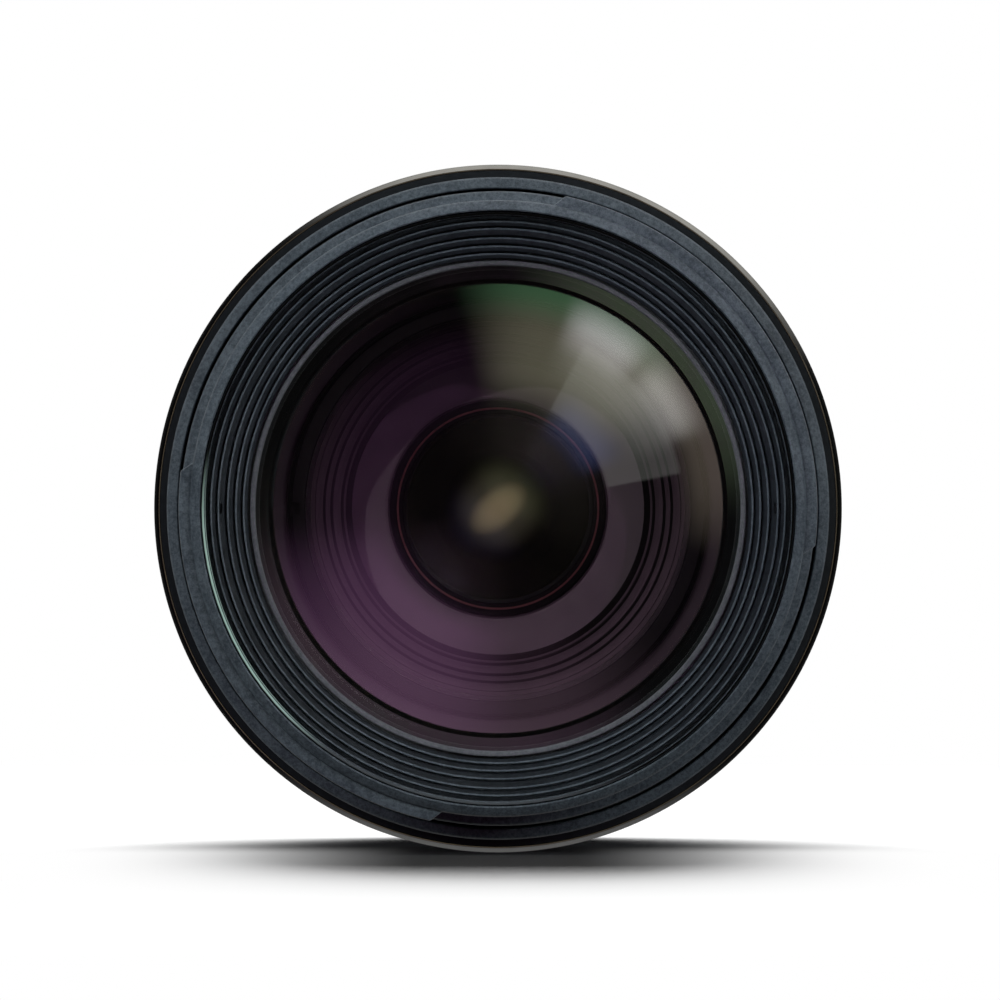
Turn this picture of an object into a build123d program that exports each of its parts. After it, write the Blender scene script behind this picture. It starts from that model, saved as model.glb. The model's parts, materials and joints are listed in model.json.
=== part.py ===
from build123d import *
import os
from math import atan2, cos, degrees, pi, radians, sin, sqrt

# A wide-angle zoom lens. Its optical axis lies along Y and the front faces -Y. The origin is the
# centre of the mounting face. Places along the axis are given as the distance forward of that face.
# Lengths are in millimetres and angles in degrees, counted anticlockwise as seen from the front.

# Lengths of the outer sections
flange_thickness = 2.0
rear_barrel_length = 20.0
focus_ring_length = 14.0
collar_length = 4.0
zoom_ring_length = 41.5
nose_length = 9.6
ring_gap = 0.3

# Diameters and walls, from the filter thread outwards
filter_thread_diameter = 67.0
rim_wall = 1.2
shoulder_step = 1.1
lug_step = 1.45
barrel_step = 1.2
slide_gap = 0.3
ring_wall = 1.3
grip_recess = 0.6
grip_thickness = 2.1

# Walls of the nested barrels, from the inner barrel inwards
inner_barrel_wall = 1.3
cam_wall = 1.2
guide_wall = 1.3
cell_wall = 1.3

# Travels
zoom_turn = 66.0
front_travel = 12.0
variator_travel = 9.0
focus_turn = 90.0
focus_travel = 4.0
switch_travel = 2.2

# Rollers that run in the slots of the guide tube and the cam barrels
roller_radius = 1.3
roller_stem_radius = 0.9
roller_clearance = 0.1
slot_relief = 0.05
roller_count = 3
front_roller_angle = 90.0
variator_roller_angle = 164.0
focus_roller_angle = 120.0

# Small clearances and chamfers
seat_clearance = 0.05
running_clearance = 0.05
edge_chamfer = 0.25
part_gap = 0.2
fine_gap = 0.1

# Radii of the outer parts
thread_radius = filter_thread_diameter / 2
rim_radius = thread_radius + rim_wall
shoulder_radius = rim_radius + shoulder_step
lug_radius = rim_radius + lug_step
inner_barrel_radius = rim_radius + barrel_step
ring_bore = inner_barrel_radius + slide_gap
ring_radius = ring_bore + ring_wall
grip_seat_radius = ring_radius - grip_recess
grip_radius = grip_seat_radius + grip_thickness

# Radii of the nested barrels
inner_barrel_bore = inner_barrel_radius - inner_barrel_wall
cam_radius = inner_barrel_bore - slide_gap
cam_bore = cam_radius - cam_wall
guide_radius = cam_bore - slide_gap
guide_bore = guide_radius - guide_wall
cell_radius = guide_bore - slide_gap
cell_bore = cell_radius - cell_wall

# Places of the outer sections along the axis
rear_barrel_end = flange_thickness + rear_barrel_length
focus_start = rear_barrel_end + ring_gap
focus_end = focus_start + focus_ring_length
collar_start = focus_end + ring_gap
collar_end = collar_start + collar_length
zoom_start = collar_end + ring_gap
zoom_end = zoom_start + zoom_ring_length
rim = zoom_end + nose_length

OPTICAL_AXIS = Axis((0, 0, 0), (0, -1, 0))
os.makedirs("parts", exist_ok=True)


def front_plane(forward, angle=0):
    """A plane across the axis that faces forward, with its x direction at an angle."""
    turn = radians(angle)
    return Plane(origin=(0, -forward, 0), x_dir=(cos(turn), 0, sin(turn)), z_dir=(0, -1, 0))


def radial_plane(angle, forward, radius):
    """A plane that faces outwards, touching a circle about the axis; its x direction is forward."""
    turn = radians(angle)
    outward = Vector(cos(turn), 0, sin(turn))
    return Plane(origin=outward * radius - Vector(0, forward, 0), x_dir=(0, -1, 0), z_dir=outward)


def section(*outline):
    """A face from corners given as (radius, distance forward), ready to be turned about the axis."""
    with BuildSketch(Plane(origin=(0, 0, 0), x_dir=(1, 0, 0), z_dir=(0, 0, -1))) as face:
        with BuildLine():
            Polyline(*outline, close=True)
        make_face()
    return face.sketch


def ring(inner, outer, back, front):
    """A plain ring section between two radii and two places along the axis."""
    return section((inner, back), (outer, back), (outer, front), (inner, front))


def sector(place, inner, outer, start, span, ramp=0):
    """A face across the axis, between two radii and two angles; a ramp slants its two ends."""
    with BuildSketch(front_plane(place)) as face:
        with BuildLine():
            inside = CenterArc((0, 0), inner, start, span)
            outside = CenterArc((0, 0), outer, start + ramp, span - 2 * ramp)
            Line(inside @ 0, outside @ 0)
            Line(inside @ 1, outside @ 1)
        make_face()
    return face.sketch


def sag(curve, radius):
    """How far a ground surface falls back at a radius; a negative curve bulges to the rear."""
    depth = abs(curve) - sqrt(curve * curve - radius * radius)
    return depth if curve > 0 else -depth


def element_section(front_edge, front_curve, front_clear, rear_edge, rear_curve, rear_clear, edge):
    """Half of a lens element. The edges are where the two ground surfaces end, at their clear radii."""
    front_top = front_edge + sag(front_curve, front_clear)
    rear_top = rear_edge + sag(rear_curve, rear_clear)

    def front_point(radius):
        return (radius, front_top - sag(front_curve, radius))

    def rear_point(radius):
        return (radius, rear_top - sag(rear_curve, radius))

    with BuildSketch(Plane(origin=(0, 0, 0), x_dir=(1, 0, 0), z_dir=(0, 0, -1))) as face:
        with BuildLine():
            ThreePointArc(rear_point(0), rear_point(rear_clear / 2), rear_point(rear_clear))
            Polyline(
                rear_point(rear_clear), (edge, rear_edge),
                (edge, front_edge - element_bevel), front_point(front_clear),
            )
            ThreePointArc(front_point(front_clear), front_point(front_clear / 2), front_point(0))
            Line(front_point(0), rear_point(0))
        make_face()
    return face.sketch


def spaced(count, start=0):
    """Angles evenly spaced about the axis."""
    return [start + 360 / count * i for i in range(count)]


def finish(part, name):
    """Name a finished piece and write its file."""
    part.label = name
    export_step(part, f"parts/{name}.step")


def cam_slot(angle, start, travel, turn, radius):
    """A helical slot through a cam barrel for one roller, with a slightly wider round at each limit."""
    width = 2 * (roller_radius + roller_clearance)
    depth = 2 * cam_wall
    round_depth = depth + 2 * slot_relief
    with BuildLine() as path:
        Helix(pitch=travel * 360 / turn, height=travel, radius=radius, lefthand=True)
    way = front_plane(start, angle).from_local_coords(path.wires()[0])
    outward = Vector(cos(radians(angle)), 0, sin(radians(angle)))
    with BuildPart() as slot:
        with BuildSketch(Plane(origin=way @ 0, x_dir=outward, z_dir=way % 0)):
            Rectangle(depth, width)
        sweep(path=way, is_frenet=True)
        for share in (0, 1):
            place = start + travel * share
            with BuildSketch(radial_plane(angle - turn * share, place, radius - round_depth / 2)):
                Circle(width / 2 + slot_relief)
            extrude(amount=round_depth)
    return slot.part


def guide_slot(angle, start, travel):
    """Cut a straight slot for one roller through the wall of the guide tube."""
    width = 2 * (roller_radius + roller_clearance)
    with BuildSketch(radial_plane(angle, start + travel / 2, guide_bore - guide_wall)) as profile:
        SlotOverall(travel + width, width)
    extrude(profile.sketch, amount=3 * guide_wall, mode=Mode.SUBTRACT)


def roller(angle, forward, stem_start, roller_start, roller_end, stem_end):
    """A roller on its stem, standing radially; the stem sits in the part that carries it."""
    with BuildSketch(radial_plane(angle, forward, roller_start)) as profile:
        Circle(roller_radius)
    extrude(profile.sketch, amount=roller_end - roller_start)
    with BuildSketch(radial_plane(angle, forward, stem_start)) as profile:
        Circle(roller_stem_radius)
    extrude(profile.sketch, amount=stem_end - stem_start)


def radial_hole(angle, forward, start, end, radius):
    """Cut a round radial hole between two distances from the axis."""
    with BuildSketch(radial_plane(angle, forward, start)) as profile:
        Circle(radius)
    extrude(profile.sketch, amount=end - start, mode=Mode.SUBTRACT)


# The glass: each element is a clear surface at the front and rear, an edge and its seat
element_bevel = 0.45
front_vertex_depth = 4.4
front_curve = 72.0
front_clear = 27.4
front_edge_radius = 28.5
front_centre = 2.5
front_rear_curve = 34.0
front_rear_clear = 25.2
second_curve = 40.0
second_clear = 21.8
second_edge_radius = 24.0
second_gap = 7.5
second_centre = 1.8
second_rear_curve = 26.0
second_rear_clear = 21.4
third_curve = 45.0
third_clear = 16.9
third_edge_radius = 18.2
third_gap = 0.9
third_edge_thickness = 2.2
third_rear_curve = -60.0
cone_length = 6.1

front_face = rim - front_vertex_depth
front_edge = front_face - sag(front_curve, front_clear)
front_rear_vertex = front_face - front_centre
front_rear_edge = front_rear_vertex - sag(front_rear_curve, front_rear_clear)
second_face = front_rear_vertex - second_gap
second_edge = second_face - sag(second_curve, second_clear)
second_rear_edge = second_face - second_centre - sag(second_rear_curve, second_rear_clear)
third_edge = second_rear_edge - cone_length - third_gap
third_rear_edge = third_edge - third_edge_thickness

with BuildPart() as front_element:
    revolve(
        element_section(front_edge, front_curve, front_clear, front_rear_edge, front_rear_curve,
                        front_rear_clear, front_edge_radius),
        axis=OPTICAL_AXIS,
    )
finish(front_element.part, "front_element")

with BuildPart() as second_element:
    revolve(
        element_section(second_edge, second_curve, second_clear, second_rear_edge, second_rear_curve,
                        second_rear_clear, second_edge_radius),
        axis=OPTICAL_AXIS,
    )
finish(second_element.part, "second_element")

with BuildPart() as third_element:
    revolve(
        element_section(third_edge, third_curve, third_clear, third_rear_edge, third_rear_curve,
                        third_clear, third_edge_radius),
        axis=OPTICAL_AXIS,
    )
finish(third_element.part, "third_element")

# The front cell: one tube that holds the three front elements, with a flange that is screwed down
guide_setback = 16.4
inner_flange_gap = 1.5
inner_flange_thickness = 2.0
cell_flange_thickness = 2.5
cell_front_wall = 3.0
cell_waist_wall = 2.5
cell_rear_wall = 3.3
ledge_chamfer = 1.5
retaining_thickness = 2.0
cone_steps = 5
cone_lip = 0.3
cone_step_bevel = (0.15, 0.35)
cone_large = second_rear_clear
cone_small = third_clear + cone_lip

guide_end = zoom_end - guide_setback
inner_flange_back = guide_end + inner_flange_gap
cell_flange_back = inner_flange_back + inner_flange_thickness
cell_flange_front = cell_flange_back + cell_flange_thickness
cell_flange_radius = inner_barrel_bore - part_gap
cell_front = front_edge - element_bevel - part_gap
cell_front_radius = front_edge_radius + cell_front_wall
cell_back = third_rear_edge - retaining_thickness - 2 * part_gap
front_bore = front_edge_radius + seat_clearance
second_bore = second_edge_radius + seat_clearance
third_bore = third_edge_radius + seat_clearance

cone_back = third_edge + third_gap
cone_points = []
for step in range(cone_steps):
    step_radius = cone_small + (cone_large - cone_small) * (step + 1) / cone_steps
    step_place = cone_back + (second_rear_edge - cone_back) * step / cone_steps
    cone_points += [
        (step_radius - cone_step_bevel[0], step_place),
        (step_radius, step_place + cone_step_bevel[1]),
    ]

cell_screw_radius = 0.7
cell_screw_head = 1.15
cell_screw_head_height = 1.1
cell_screw_distance = cell_flange_radius - cell_screw_head
cell_screw_angle = 50.0
cell_screw_count = 3
cell_screw_bite = 1.5
cell_screw_back = cell_flange_back - cell_screw_bite

with BuildPart() as front_cell:
    revolve(
        section(
            (third_bore, cell_back), (third_bore, third_edge), (cone_small, third_edge),
            (cone_small, cone_back), *cone_points, (cone_large, second_rear_edge),
            (second_bore, second_rear_edge), (second_bore, front_rear_edge - ledge_chamfer),
            (second_bore + ledge_chamfer, front_rear_edge), (front_bore, front_rear_edge),
            (front_bore, cell_front), (cell_front_radius, cell_front),
            (cell_front_radius, cell_flange_front), (cell_flange_radius, cell_flange_front),
            (cell_flange_radius, cell_flange_back), (second_edge_radius + cell_waist_wall, cell_flange_back),
            (second_edge_radius + cell_waist_wall, second_rear_edge - cell_waist_wall),
            (third_edge_radius + cell_rear_wall, second_rear_edge - cell_waist_wall - 1),
            (third_edge_radius + cell_rear_wall, cell_back),
        ),
        axis=OPTICAL_AXIS,
    )
    with BuildSketch(front_plane(cell_flange_back, cell_screw_angle)):
        with PolarLocations(cell_screw_distance, cell_screw_count):
            Circle(cell_screw_radius)
    extrude(amount=cell_flange_thickness, mode=Mode.SUBTRACT)
finish(front_cell.part, "front_cell")

with BuildPart() as front_cell_screws:
    with BuildSketch(front_plane(cell_screw_back, cell_screw_angle)):
        with PolarLocations(cell_screw_distance, cell_screw_count):
            Circle(cell_screw_radius)
    extrude(amount=cell_flange_front - cell_screw_back)
    with BuildSketch(front_plane(cell_flange_front, cell_screw_angle)):
        with PolarLocations(cell_screw_distance, cell_screw_count):
            Circle(cell_screw_head)
    extrude(amount=cell_screw_head_height)
finish(front_cell_screws.part, "front_cell_screws")

notch_width = 1.4


def retaining_ring(inner, outer, back, front, from_front=True):
    """A threaded ring that holds an element in its seat, with two notches for a spanner."""
    revolve(ring(inner, outer, back, front), axis=OPTICAL_AXIS)
    notch_place = front - notch_width / 2 if from_front else back
    with BuildSketch(front_plane(notch_place)) as profile:
        with PolarLocations(outer, 2):
            Rectangle(2 * (outer - inner) - notch_width, notch_width)
    extrude(profile.sketch, amount=notch_width / 2, mode=Mode.SUBTRACT)


with BuildPart() as second_retaining_ring:
    retaining_ring(second_clear + fine_gap, second_edge_radius, second_edge,
                   second_edge + retaining_thickness)
finish(second_retaining_ring.part, "second_retaining_ring")

with BuildPart() as third_retaining_ring:
    retaining_ring(third_clear + fine_gap, third_edge_radius, third_rear_edge - retaining_thickness,
                   third_rear_edge, from_front=False)
finish(third_retaining_ring.part, "third_retaining_ring")

# The stepped baffle ring, which clamps the front element; its ridges climb towards the rim
baffle_step = 0.5
baffle_radius = thread_radius - baffle_step
baffle_inner_radius = front_clear - fine_gap
ridge_count = 6
ridge_crest = 0.25
ridge_depth = 0.65
inner_crest_rise = 0.85
outer_crest_rise = 5.7
ridge_pitch = (baffle_radius - baffle_inner_radius) / ridge_count
spanner_notch = (1.2, 1.0, 0.8)

ridge_points = []
for i in reversed(range(ridge_count)):
    ridge_radius = baffle_inner_radius + (i + 0.5) * ridge_pitch
    rise = inner_crest_rise + (outer_crest_rise - inner_crest_rise) * i / (ridge_count - 1)
    ridge_points += [
        (ridge_radius + ridge_pitch / 2, front_edge + rise - ridge_depth),
        (ridge_radius + ridge_crest / 2, front_edge + rise),
        (ridge_radius - ridge_crest / 2, front_edge + rise),
    ]
notch_ridge = baffle_inner_radius + 4.5 * ridge_pitch
notch_floor = front_edge + outer_crest_rise - ridge_depth - spanner_notch[2]

with BuildPart() as baffle_ring:
    revolve(
        section(
            (baffle_inner_radius, front_edge + fine_gap), (front_bore, cell_front + part_gap + fine_gap),
            (front_bore, cell_front), (baffle_radius, cell_front), *ridge_points,
            (baffle_inner_radius, front_edge + inner_crest_rise - ridge_depth),
        ),
        axis=OPTICAL_AXIS,
    )
    with BuildSketch(front_plane(notch_floor)):
        with PolarLocations(notch_ridge, 2):
            Rectangle(spanner_notch[1], spanner_notch[0])
    extrude(amount=outer_crest_rise, mode=Mode.SUBTRACT)
finish(baffle_ring.part, "baffle_ring")

# The filter ring: thread bore, flat rim, two bayonet lugs for a hood, and a skirt in the inner barrel
thread_length = 4.0
lug_front_depth = 1.0
lug_thickness = 1.8
groove_width = 2.2
lug_starts = (-9.0, 171.0)
lug_span = 89.0
lug_ramp = 2.5
skirt_length = 4.5
skirt_wall = 1.25
inner_barrel_front = zoom_end - 0.4
skirt_radius = inner_barrel_bore - seat_clearance
skirt_bore = skirt_radius - skirt_wall
baffle_bore = baffle_radius + seat_clearance
groove_back = rim - lug_front_depth - lug_thickness - groove_width
grub_radius = 0.8
grub_place = inner_barrel_front - skirt_length / 2
grub_angle = 30.0
grub_count = 3
grub_angles = spaced(grub_count, grub_angle)

with BuildPart() as filter_ring:
    revolve(
        section(
            (thread_radius, rim - edge_chamfer), (thread_radius + edge_chamfer, rim),
            (rim_radius - edge_chamfer, rim), (rim_radius, rim - edge_chamfer),
            (rim_radius, groove_back), (shoulder_radius - edge_chamfer, groove_back),
            (shoulder_radius, groove_back - edge_chamfer), (shoulder_radius, inner_barrel_front),
            (skirt_radius, inner_barrel_front), (skirt_radius, inner_barrel_front - skirt_length),
            (skirt_bore, inner_barrel_front - skirt_length), (skirt_bore, cell_front - 2 * part_gap),
            (baffle_bore, cell_front - 2 * part_gap), (baffle_bore, rim - thread_length),
            (thread_radius, rim - thread_length),
        ),
        axis=OPTICAL_AXIS,
    )
    for start in lug_starts:
        lug_back = rim - lug_front_depth - lug_thickness
        lug_face = sector(lug_back, rim_radius - part_gap, lug_radius, start, lug_span, lug_ramp)
        extrude(lug_face, amount=lug_thickness)
    for angle in grub_angles:
        radial_hole(angle, grub_place, skirt_bore - skirt_wall, skirt_radius + skirt_wall, grub_radius)
finish(filter_ring.part, "filter_ring")

with BuildPart() as filter_ring_screws:
    for angle in grub_angles:
        with BuildSketch(radial_plane(angle, grub_place, skirt_bore + fine_gap)):
            Circle(grub_radius)
        extrude(amount=inner_barrel_radius - skirt_bore - fine_gap - part_gap)
finish(filter_ring_screws.part, "filter_ring_screws")

# The inner barrel slides inside the zoom ring and carries the front group on three rollers
front_roller_offset = 9.6
variator_roller_offset = 4.6
roller_edge = 2.5
stem_depth = 1.1
front_roller_place = zoom_start + front_roller_offset
variator_roller_place = zoom_start + variator_roller_offset
inner_barrel_back = front_roller_place - roller_edge
front_roller_angles = spaced(roller_count, front_roller_angle)
variator_roller_angles = spaced(roller_count, variator_roller_angle)
focus_roller_angles = spaced(roller_count, focus_roller_angle)

with BuildPart() as inner_barrel:
    revolve(
        section(
            (inner_barrel_bore, inner_barrel_back), (inner_barrel_radius, inner_barrel_back),
            (inner_barrel_radius, inner_barrel_front), (inner_barrel_bore, inner_barrel_front),
            (inner_barrel_bore, cell_flange_back), (cell_front_radius, cell_flange_back),
            (cell_front_radius, inner_flange_back), (inner_barrel_bore, inner_flange_back),
        ),
        axis=OPTICAL_AXIS,
    )
    with BuildSketch(front_plane(inner_flange_back, cell_screw_angle)):
        with PolarLocations(cell_screw_distance, cell_screw_count):
            Circle(cell_screw_radius)
    extrude(amount=inner_flange_thickness, mode=Mode.SUBTRACT)
    for angle in front_roller_angles:
        radial_hole(angle, front_roller_place, cam_bore, inner_barrel_bore + stem_depth, roller_stem_radius)
    for angle in grub_angles:
        radial_hole(angle, grub_place, cam_bore, ring_bore, grub_radius)
finish(inner_barrel.part, "inner_barrel")

with BuildPart() as front_rollers:
    for angle in front_roller_angles:
        roller(angle, front_roller_place, guide_bore + part_gap, guide_bore + part_gap,
               inner_barrel_bore - fine_gap, inner_barrel_bore + stem_depth)
finish(front_rollers.part, "front_rollers")

# The guide tube is fixed; its straight slots let the rollers move only along the axis
guide_back = 9.0
guide_flange_thickness = 1.6
guide_flange_width = 1.7
guide_flange_radius = guide_radius + guide_flange_width
guide_screw_distance = (guide_radius + guide_flange_radius) / 2
guide_screw_radius = 0.6
guide_screw_head = 0.85
guide_screw_head_height = 0.9
guide_screw_length = 1.8
guide_screw_angle = 75.0
guide_screw_count = 3
focus_roller_offset = 4.7
focus_roller_place = focus_start + focus_roller_offset

with BuildPart() as guide_tube:
    revolve(
        section(
            (guide_bore, guide_back), (guide_flange_radius, guide_back),
            (guide_flange_radius, guide_back + guide_flange_thickness),
            (guide_radius, guide_back + guide_flange_thickness), (guide_radius, guide_end),
            (guide_bore, guide_end),
        ),
        axis=OPTICAL_AXIS,
    )
    for angle in front_roller_angles:
        guide_slot(angle, front_roller_place, front_travel)
    for angle in variator_roller_angles:
        guide_slot(angle, variator_roller_place, variator_travel)
    for angle in focus_roller_angles:
        guide_slot(angle, focus_roller_place, focus_travel)
    with BuildSketch(front_plane(guide_back, guide_screw_angle)):
        with PolarLocations(guide_screw_distance, guide_screw_count):
            Circle(guide_screw_radius)
    extrude(amount=guide_flange_thickness, mode=Mode.SUBTRACT)
finish(guide_tube.part, "guide_tube")

with BuildPart() as guide_screws:
    with BuildSketch(front_plane(guide_back - guide_screw_length, guide_screw_angle)):
        with PolarLocations(guide_screw_distance, guide_screw_count):
            Circle(guide_screw_radius)
    extrude(amount=guide_screw_length + guide_flange_thickness)
    with BuildSketch(front_plane(guide_back + guide_flange_thickness, guide_screw_angle)):
        with PolarLocations(guide_screw_distance, guide_screw_count):
            Circle(guide_screw_head)
    extrude(amount=guide_screw_head_height)
finish(guide_screws.part, "guide_screws")

# Two cam barrels turn on the guide tube: one with the zoom ring, one with the focus ring
cam_flange_thickness = 2.0
cam_setback = 0.5
key_width = 3.0
key_length = 1.4
key_depth = 0.6
cam_middle = (cam_bore + cam_radius) / 2
cam_end = guide_end - cam_setback
zoom_key_place = zoom_start + cam_flange_thickness / 2
focus_key_place = focus_end - cam_flange_thickness / 2
key_angle = 20.0
key_count = 3
key_angles = spaced(key_count, key_angle)


def keys(place):
    """Three keys that carry the turn of a ring to the cam barrel inside it."""
    for angle in key_angles:
        with BuildSketch(radial_plane(angle, place, cam_radius)) as profile:
            Rectangle(key_length, key_width)
        extrude(profile.sketch, amount=ring_bore + key_depth - cam_radius)


zoom_slots = [
    cam_slot(angle, front_roller_place, front_travel, zoom_turn, cam_middle) for angle in front_roller_angles
] + [
    cam_slot(angle, variator_roller_place, variator_travel, zoom_turn, cam_middle)
    for angle in variator_roller_angles
]
focus_slots = [
    cam_slot(angle, focus_roller_place, focus_travel, focus_turn, cam_middle) for angle in focus_roller_angles
]

with BuildPart() as zoom_keys:
    keys(zoom_key_place)
finish(zoom_keys.part, "zoom_keys")

with BuildPart() as focus_keys:
    keys(focus_key_place)
finish(focus_keys.part, "focus_keys")

with BuildPart() as zoom_cam_barrel:
    revolve(
        section(
            (cam_bore, zoom_start), (ring_bore, zoom_start), (ring_bore, zoom_start + cam_flange_thickness),
            (cam_radius, zoom_start + cam_flange_thickness), (cam_radius, cam_end), (cam_bore, cam_end),
        ),
        axis=OPTICAL_AXIS,
    )
    for slot in zoom_slots:
        add(slot, mode=Mode.SUBTRACT)
    add(zoom_keys.part, mode=Mode.SUBTRACT)
finish(zoom_cam_barrel.part, "zoom_cam_barrel")

with BuildPart() as focus_cam_barrel:
    revolve(
        section(
            (cam_bore, focus_start), (cam_radius, focus_start),
            (cam_radius, focus_end - cam_flange_thickness),
            (ring_bore, focus_end - cam_flange_thickness), (ring_bore, focus_end), (cam_bore, focus_end),
        ),
        axis=OPTICAL_AXIS,
    )
    for slot in focus_slots:
        add(slot, mode=Mode.SUBTRACT)
    add(focus_keys.part, mode=Mode.SUBTRACT)
finish(focus_cam_barrel.part, "focus_cam_barrel")

# The zoom ring and its grip; the slate shoulder ahead of the grip is what shows from the front
zoom_grip_start = zoom_start + 9.0
zoom_grip_end = zoom_end - 3.2
focus_grip_start = focus_start + 2.2
focus_grip_end = focus_end - 2.2
seal_start = zoom_end - 2.6
seal_length = 1.4
seal_depth = 0.5
seal_proud = 0.15
grip_lip = 2.4
grip_edge = 0.5
groove_depth = 0.7
groove_share = 0.42
groove_count = 60


def control_ring(start, end, grip_start, grip_end):
    """A turning ring with a recess for its rubber grip."""
    revolve(
        section(
            (ring_bore, start), (ring_radius - edge_chamfer, start), (ring_radius, start + edge_chamfer),
            (ring_radius, grip_start), (grip_seat_radius, grip_start), (grip_seat_radius, grip_end),
            (ring_radius, grip_end), (ring_radius, end - edge_chamfer), (ring_radius - edge_chamfer, end),
            (ring_bore, end),
        ),
        axis=OPTICAL_AXIS,
    )


def rubber_grip(start, end):
    """A rubber sleeve with grooves along the axis between two smooth lips."""
    revolve(
        section(
            (grip_seat_radius, start), (grip_radius - grip_edge, start), (grip_radius, start + grip_edge),
            (grip_radius, end - grip_edge), (grip_radius - grip_edge, end), (grip_seat_radius, end),
        ),
        axis=OPTICAL_AXIS,
    )
    groove = groove_share * 2 * pi * grip_radius / groove_count
    with BuildSketch(front_plane(start + grip_lip)) as profile:
        with PolarLocations(grip_radius, groove_count):
            Rectangle(2 * groove_depth, groove)
    extrude(profile.sketch, amount=end - start - 2 * grip_lip, mode=Mode.SUBTRACT)


with BuildPart() as zoom_ring:
    control_ring(zoom_start, zoom_end, zoom_grip_start, zoom_grip_end)
    revolve(ring(ring_bore, ring_bore + seal_depth, seal_start, seal_start + seal_length),
            axis=OPTICAL_AXIS, mode=Mode.SUBTRACT)
    add(zoom_keys.part, mode=Mode.SUBTRACT)
finish(zoom_ring.part, "zoom_ring")

with BuildPart() as barrel_seal:
    revolve(ring(ring_bore - seal_proud, ring_bore + seal_depth, seal_start, seal_start + seal_length),
            axis=OPTICAL_AXIS)
finish(barrel_seal.part, "barrel_seal")

with BuildPart() as zoom_grip:
    rubber_grip(zoom_grip_start, zoom_grip_end)
finish(zoom_grip.part, "zoom_grip")

with BuildPart() as focus_ring:
    control_ring(focus_start, focus_end, focus_grip_start, focus_grip_end)
    add(focus_keys.part, mode=Mode.SUBTRACT)
finish(focus_ring.part, "focus_ring")

with BuildPart() as focus_grip:
    rubber_grip(focus_grip_start, focus_grip_end)
finish(focus_grip.part, "focus_grip")

# The fixed collar between the two rings stands on the guide tube and carries the index mark
collar_web = (1.2, 2.8)

with BuildPart() as index_collar:
    revolve(
        section(
            (guide_radius, collar_start + collar_web[0]), (ring_bore, collar_start + collar_web[0]),
            (ring_bore, collar_start), (ring_radius, collar_start), (ring_radius, collar_end),
            (ring_bore, collar_end), (ring_bore, collar_start + collar_web[1]),
            (guide_radius, collar_start + collar_web[1]),
        ),
        axis=OPTICAL_AXIS,
    )
finish(index_collar.part, "index_collar")

# The variator cell moves inside the guide tube; its front plate shows through the front elements
plate_offset = 5.1
plate_thickness = 1.6
hub_length = 7.6
hub_wall = 1.5
doublet_edge_radius = 12.05
doublet_clear = 10.9
doublet_curve = 30.0
doublet_front_thickness = 1.5
doublet_recess = 1.0
doublet_rear_depth = 5.6
doublet_lip = 1.0
variator_back_length = 7.5
retaining_proud = 0.4
retaining_step = 0.45

plate_front = variator_roller_place + plate_offset
plate_back = plate_front - plate_thickness
hub_back = plate_front - hub_length
hub_bore = doublet_edge_radius + seat_clearance
doublet_edge = plate_front - doublet_recess
doublet_joint = doublet_edge - doublet_front_thickness
doublet_back = plate_front - doublet_rear_depth - doublet_recess
variator_back = variator_roller_place - variator_back_length
retaining_bore = hub_bore + retaining_step

with BuildPart() as variator_cell:
    revolve(
        section(
            (doublet_clear + fine_gap, hub_back), (hub_bore + hub_wall, hub_back),
            (hub_bore + hub_wall, plate_back),
            (cell_bore, plate_back), (cell_bore, variator_back), (cell_radius, variator_back),
            (cell_radius, plate_front), (retaining_bore, plate_front), (retaining_bore, doublet_edge),
            (hub_bore, doublet_edge), (hub_bore, doublet_back), (doublet_clear + fine_gap, doublet_back),
        ),
        axis=OPTICAL_AXIS,
    )
    for angle in variator_roller_angles:
        radial_hole(angle, variator_roller_place, cell_bore - cell_wall, guide_radius, roller_stem_radius)
finish(variator_cell.part, "variator_cell")

with BuildPart() as variator_rollers:
    for angle in variator_roller_angles:
        roller(angle, variator_roller_place, cell_bore + part_gap, cell_radius, cam_radius - part_gap,
               cam_radius - part_gap)
finish(variator_rollers.part, "variator_rollers")

with BuildPart() as doublet_front:
    revolve(
        element_section(doublet_edge, doublet_curve, doublet_clear, doublet_joint, -doublet_curve,
                        doublet_clear, doublet_edge_radius),
        axis=OPTICAL_AXIS,
    )
finish(doublet_front.part, "doublet_front")

with BuildPart() as doublet_rear:
    joint_depth = sag(doublet_curve, doublet_clear)
    with BuildSketch(Plane(origin=(0, 0, 0), x_dir=(1, 0, 0), z_dir=(0, 0, -1))):
        with BuildLine():
            ThreePointArc(
                (0, doublet_joint - joint_depth),
                (doublet_clear / 2, doublet_joint - joint_depth + sag(doublet_curve, doublet_clear / 2)),
                (doublet_clear, doublet_joint),
            )
            Polyline(
                (doublet_clear, doublet_joint), (doublet_edge_radius, doublet_joint),
                (doublet_edge_radius, doublet_back), (0, doublet_back), (0, doublet_joint - joint_depth),
            )
        make_face()
    revolve(axis=OPTICAL_AXIS)
finish(doublet_rear.part, "doublet_rear")

with BuildPart() as doublet_retaining_ring:
    retaining_ring(doublet_clear, retaining_bore - seat_clearance, doublet_edge,
                   plate_front + retaining_proud)
finish(doublet_retaining_ring.part, "doublet_retaining_ring")

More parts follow.
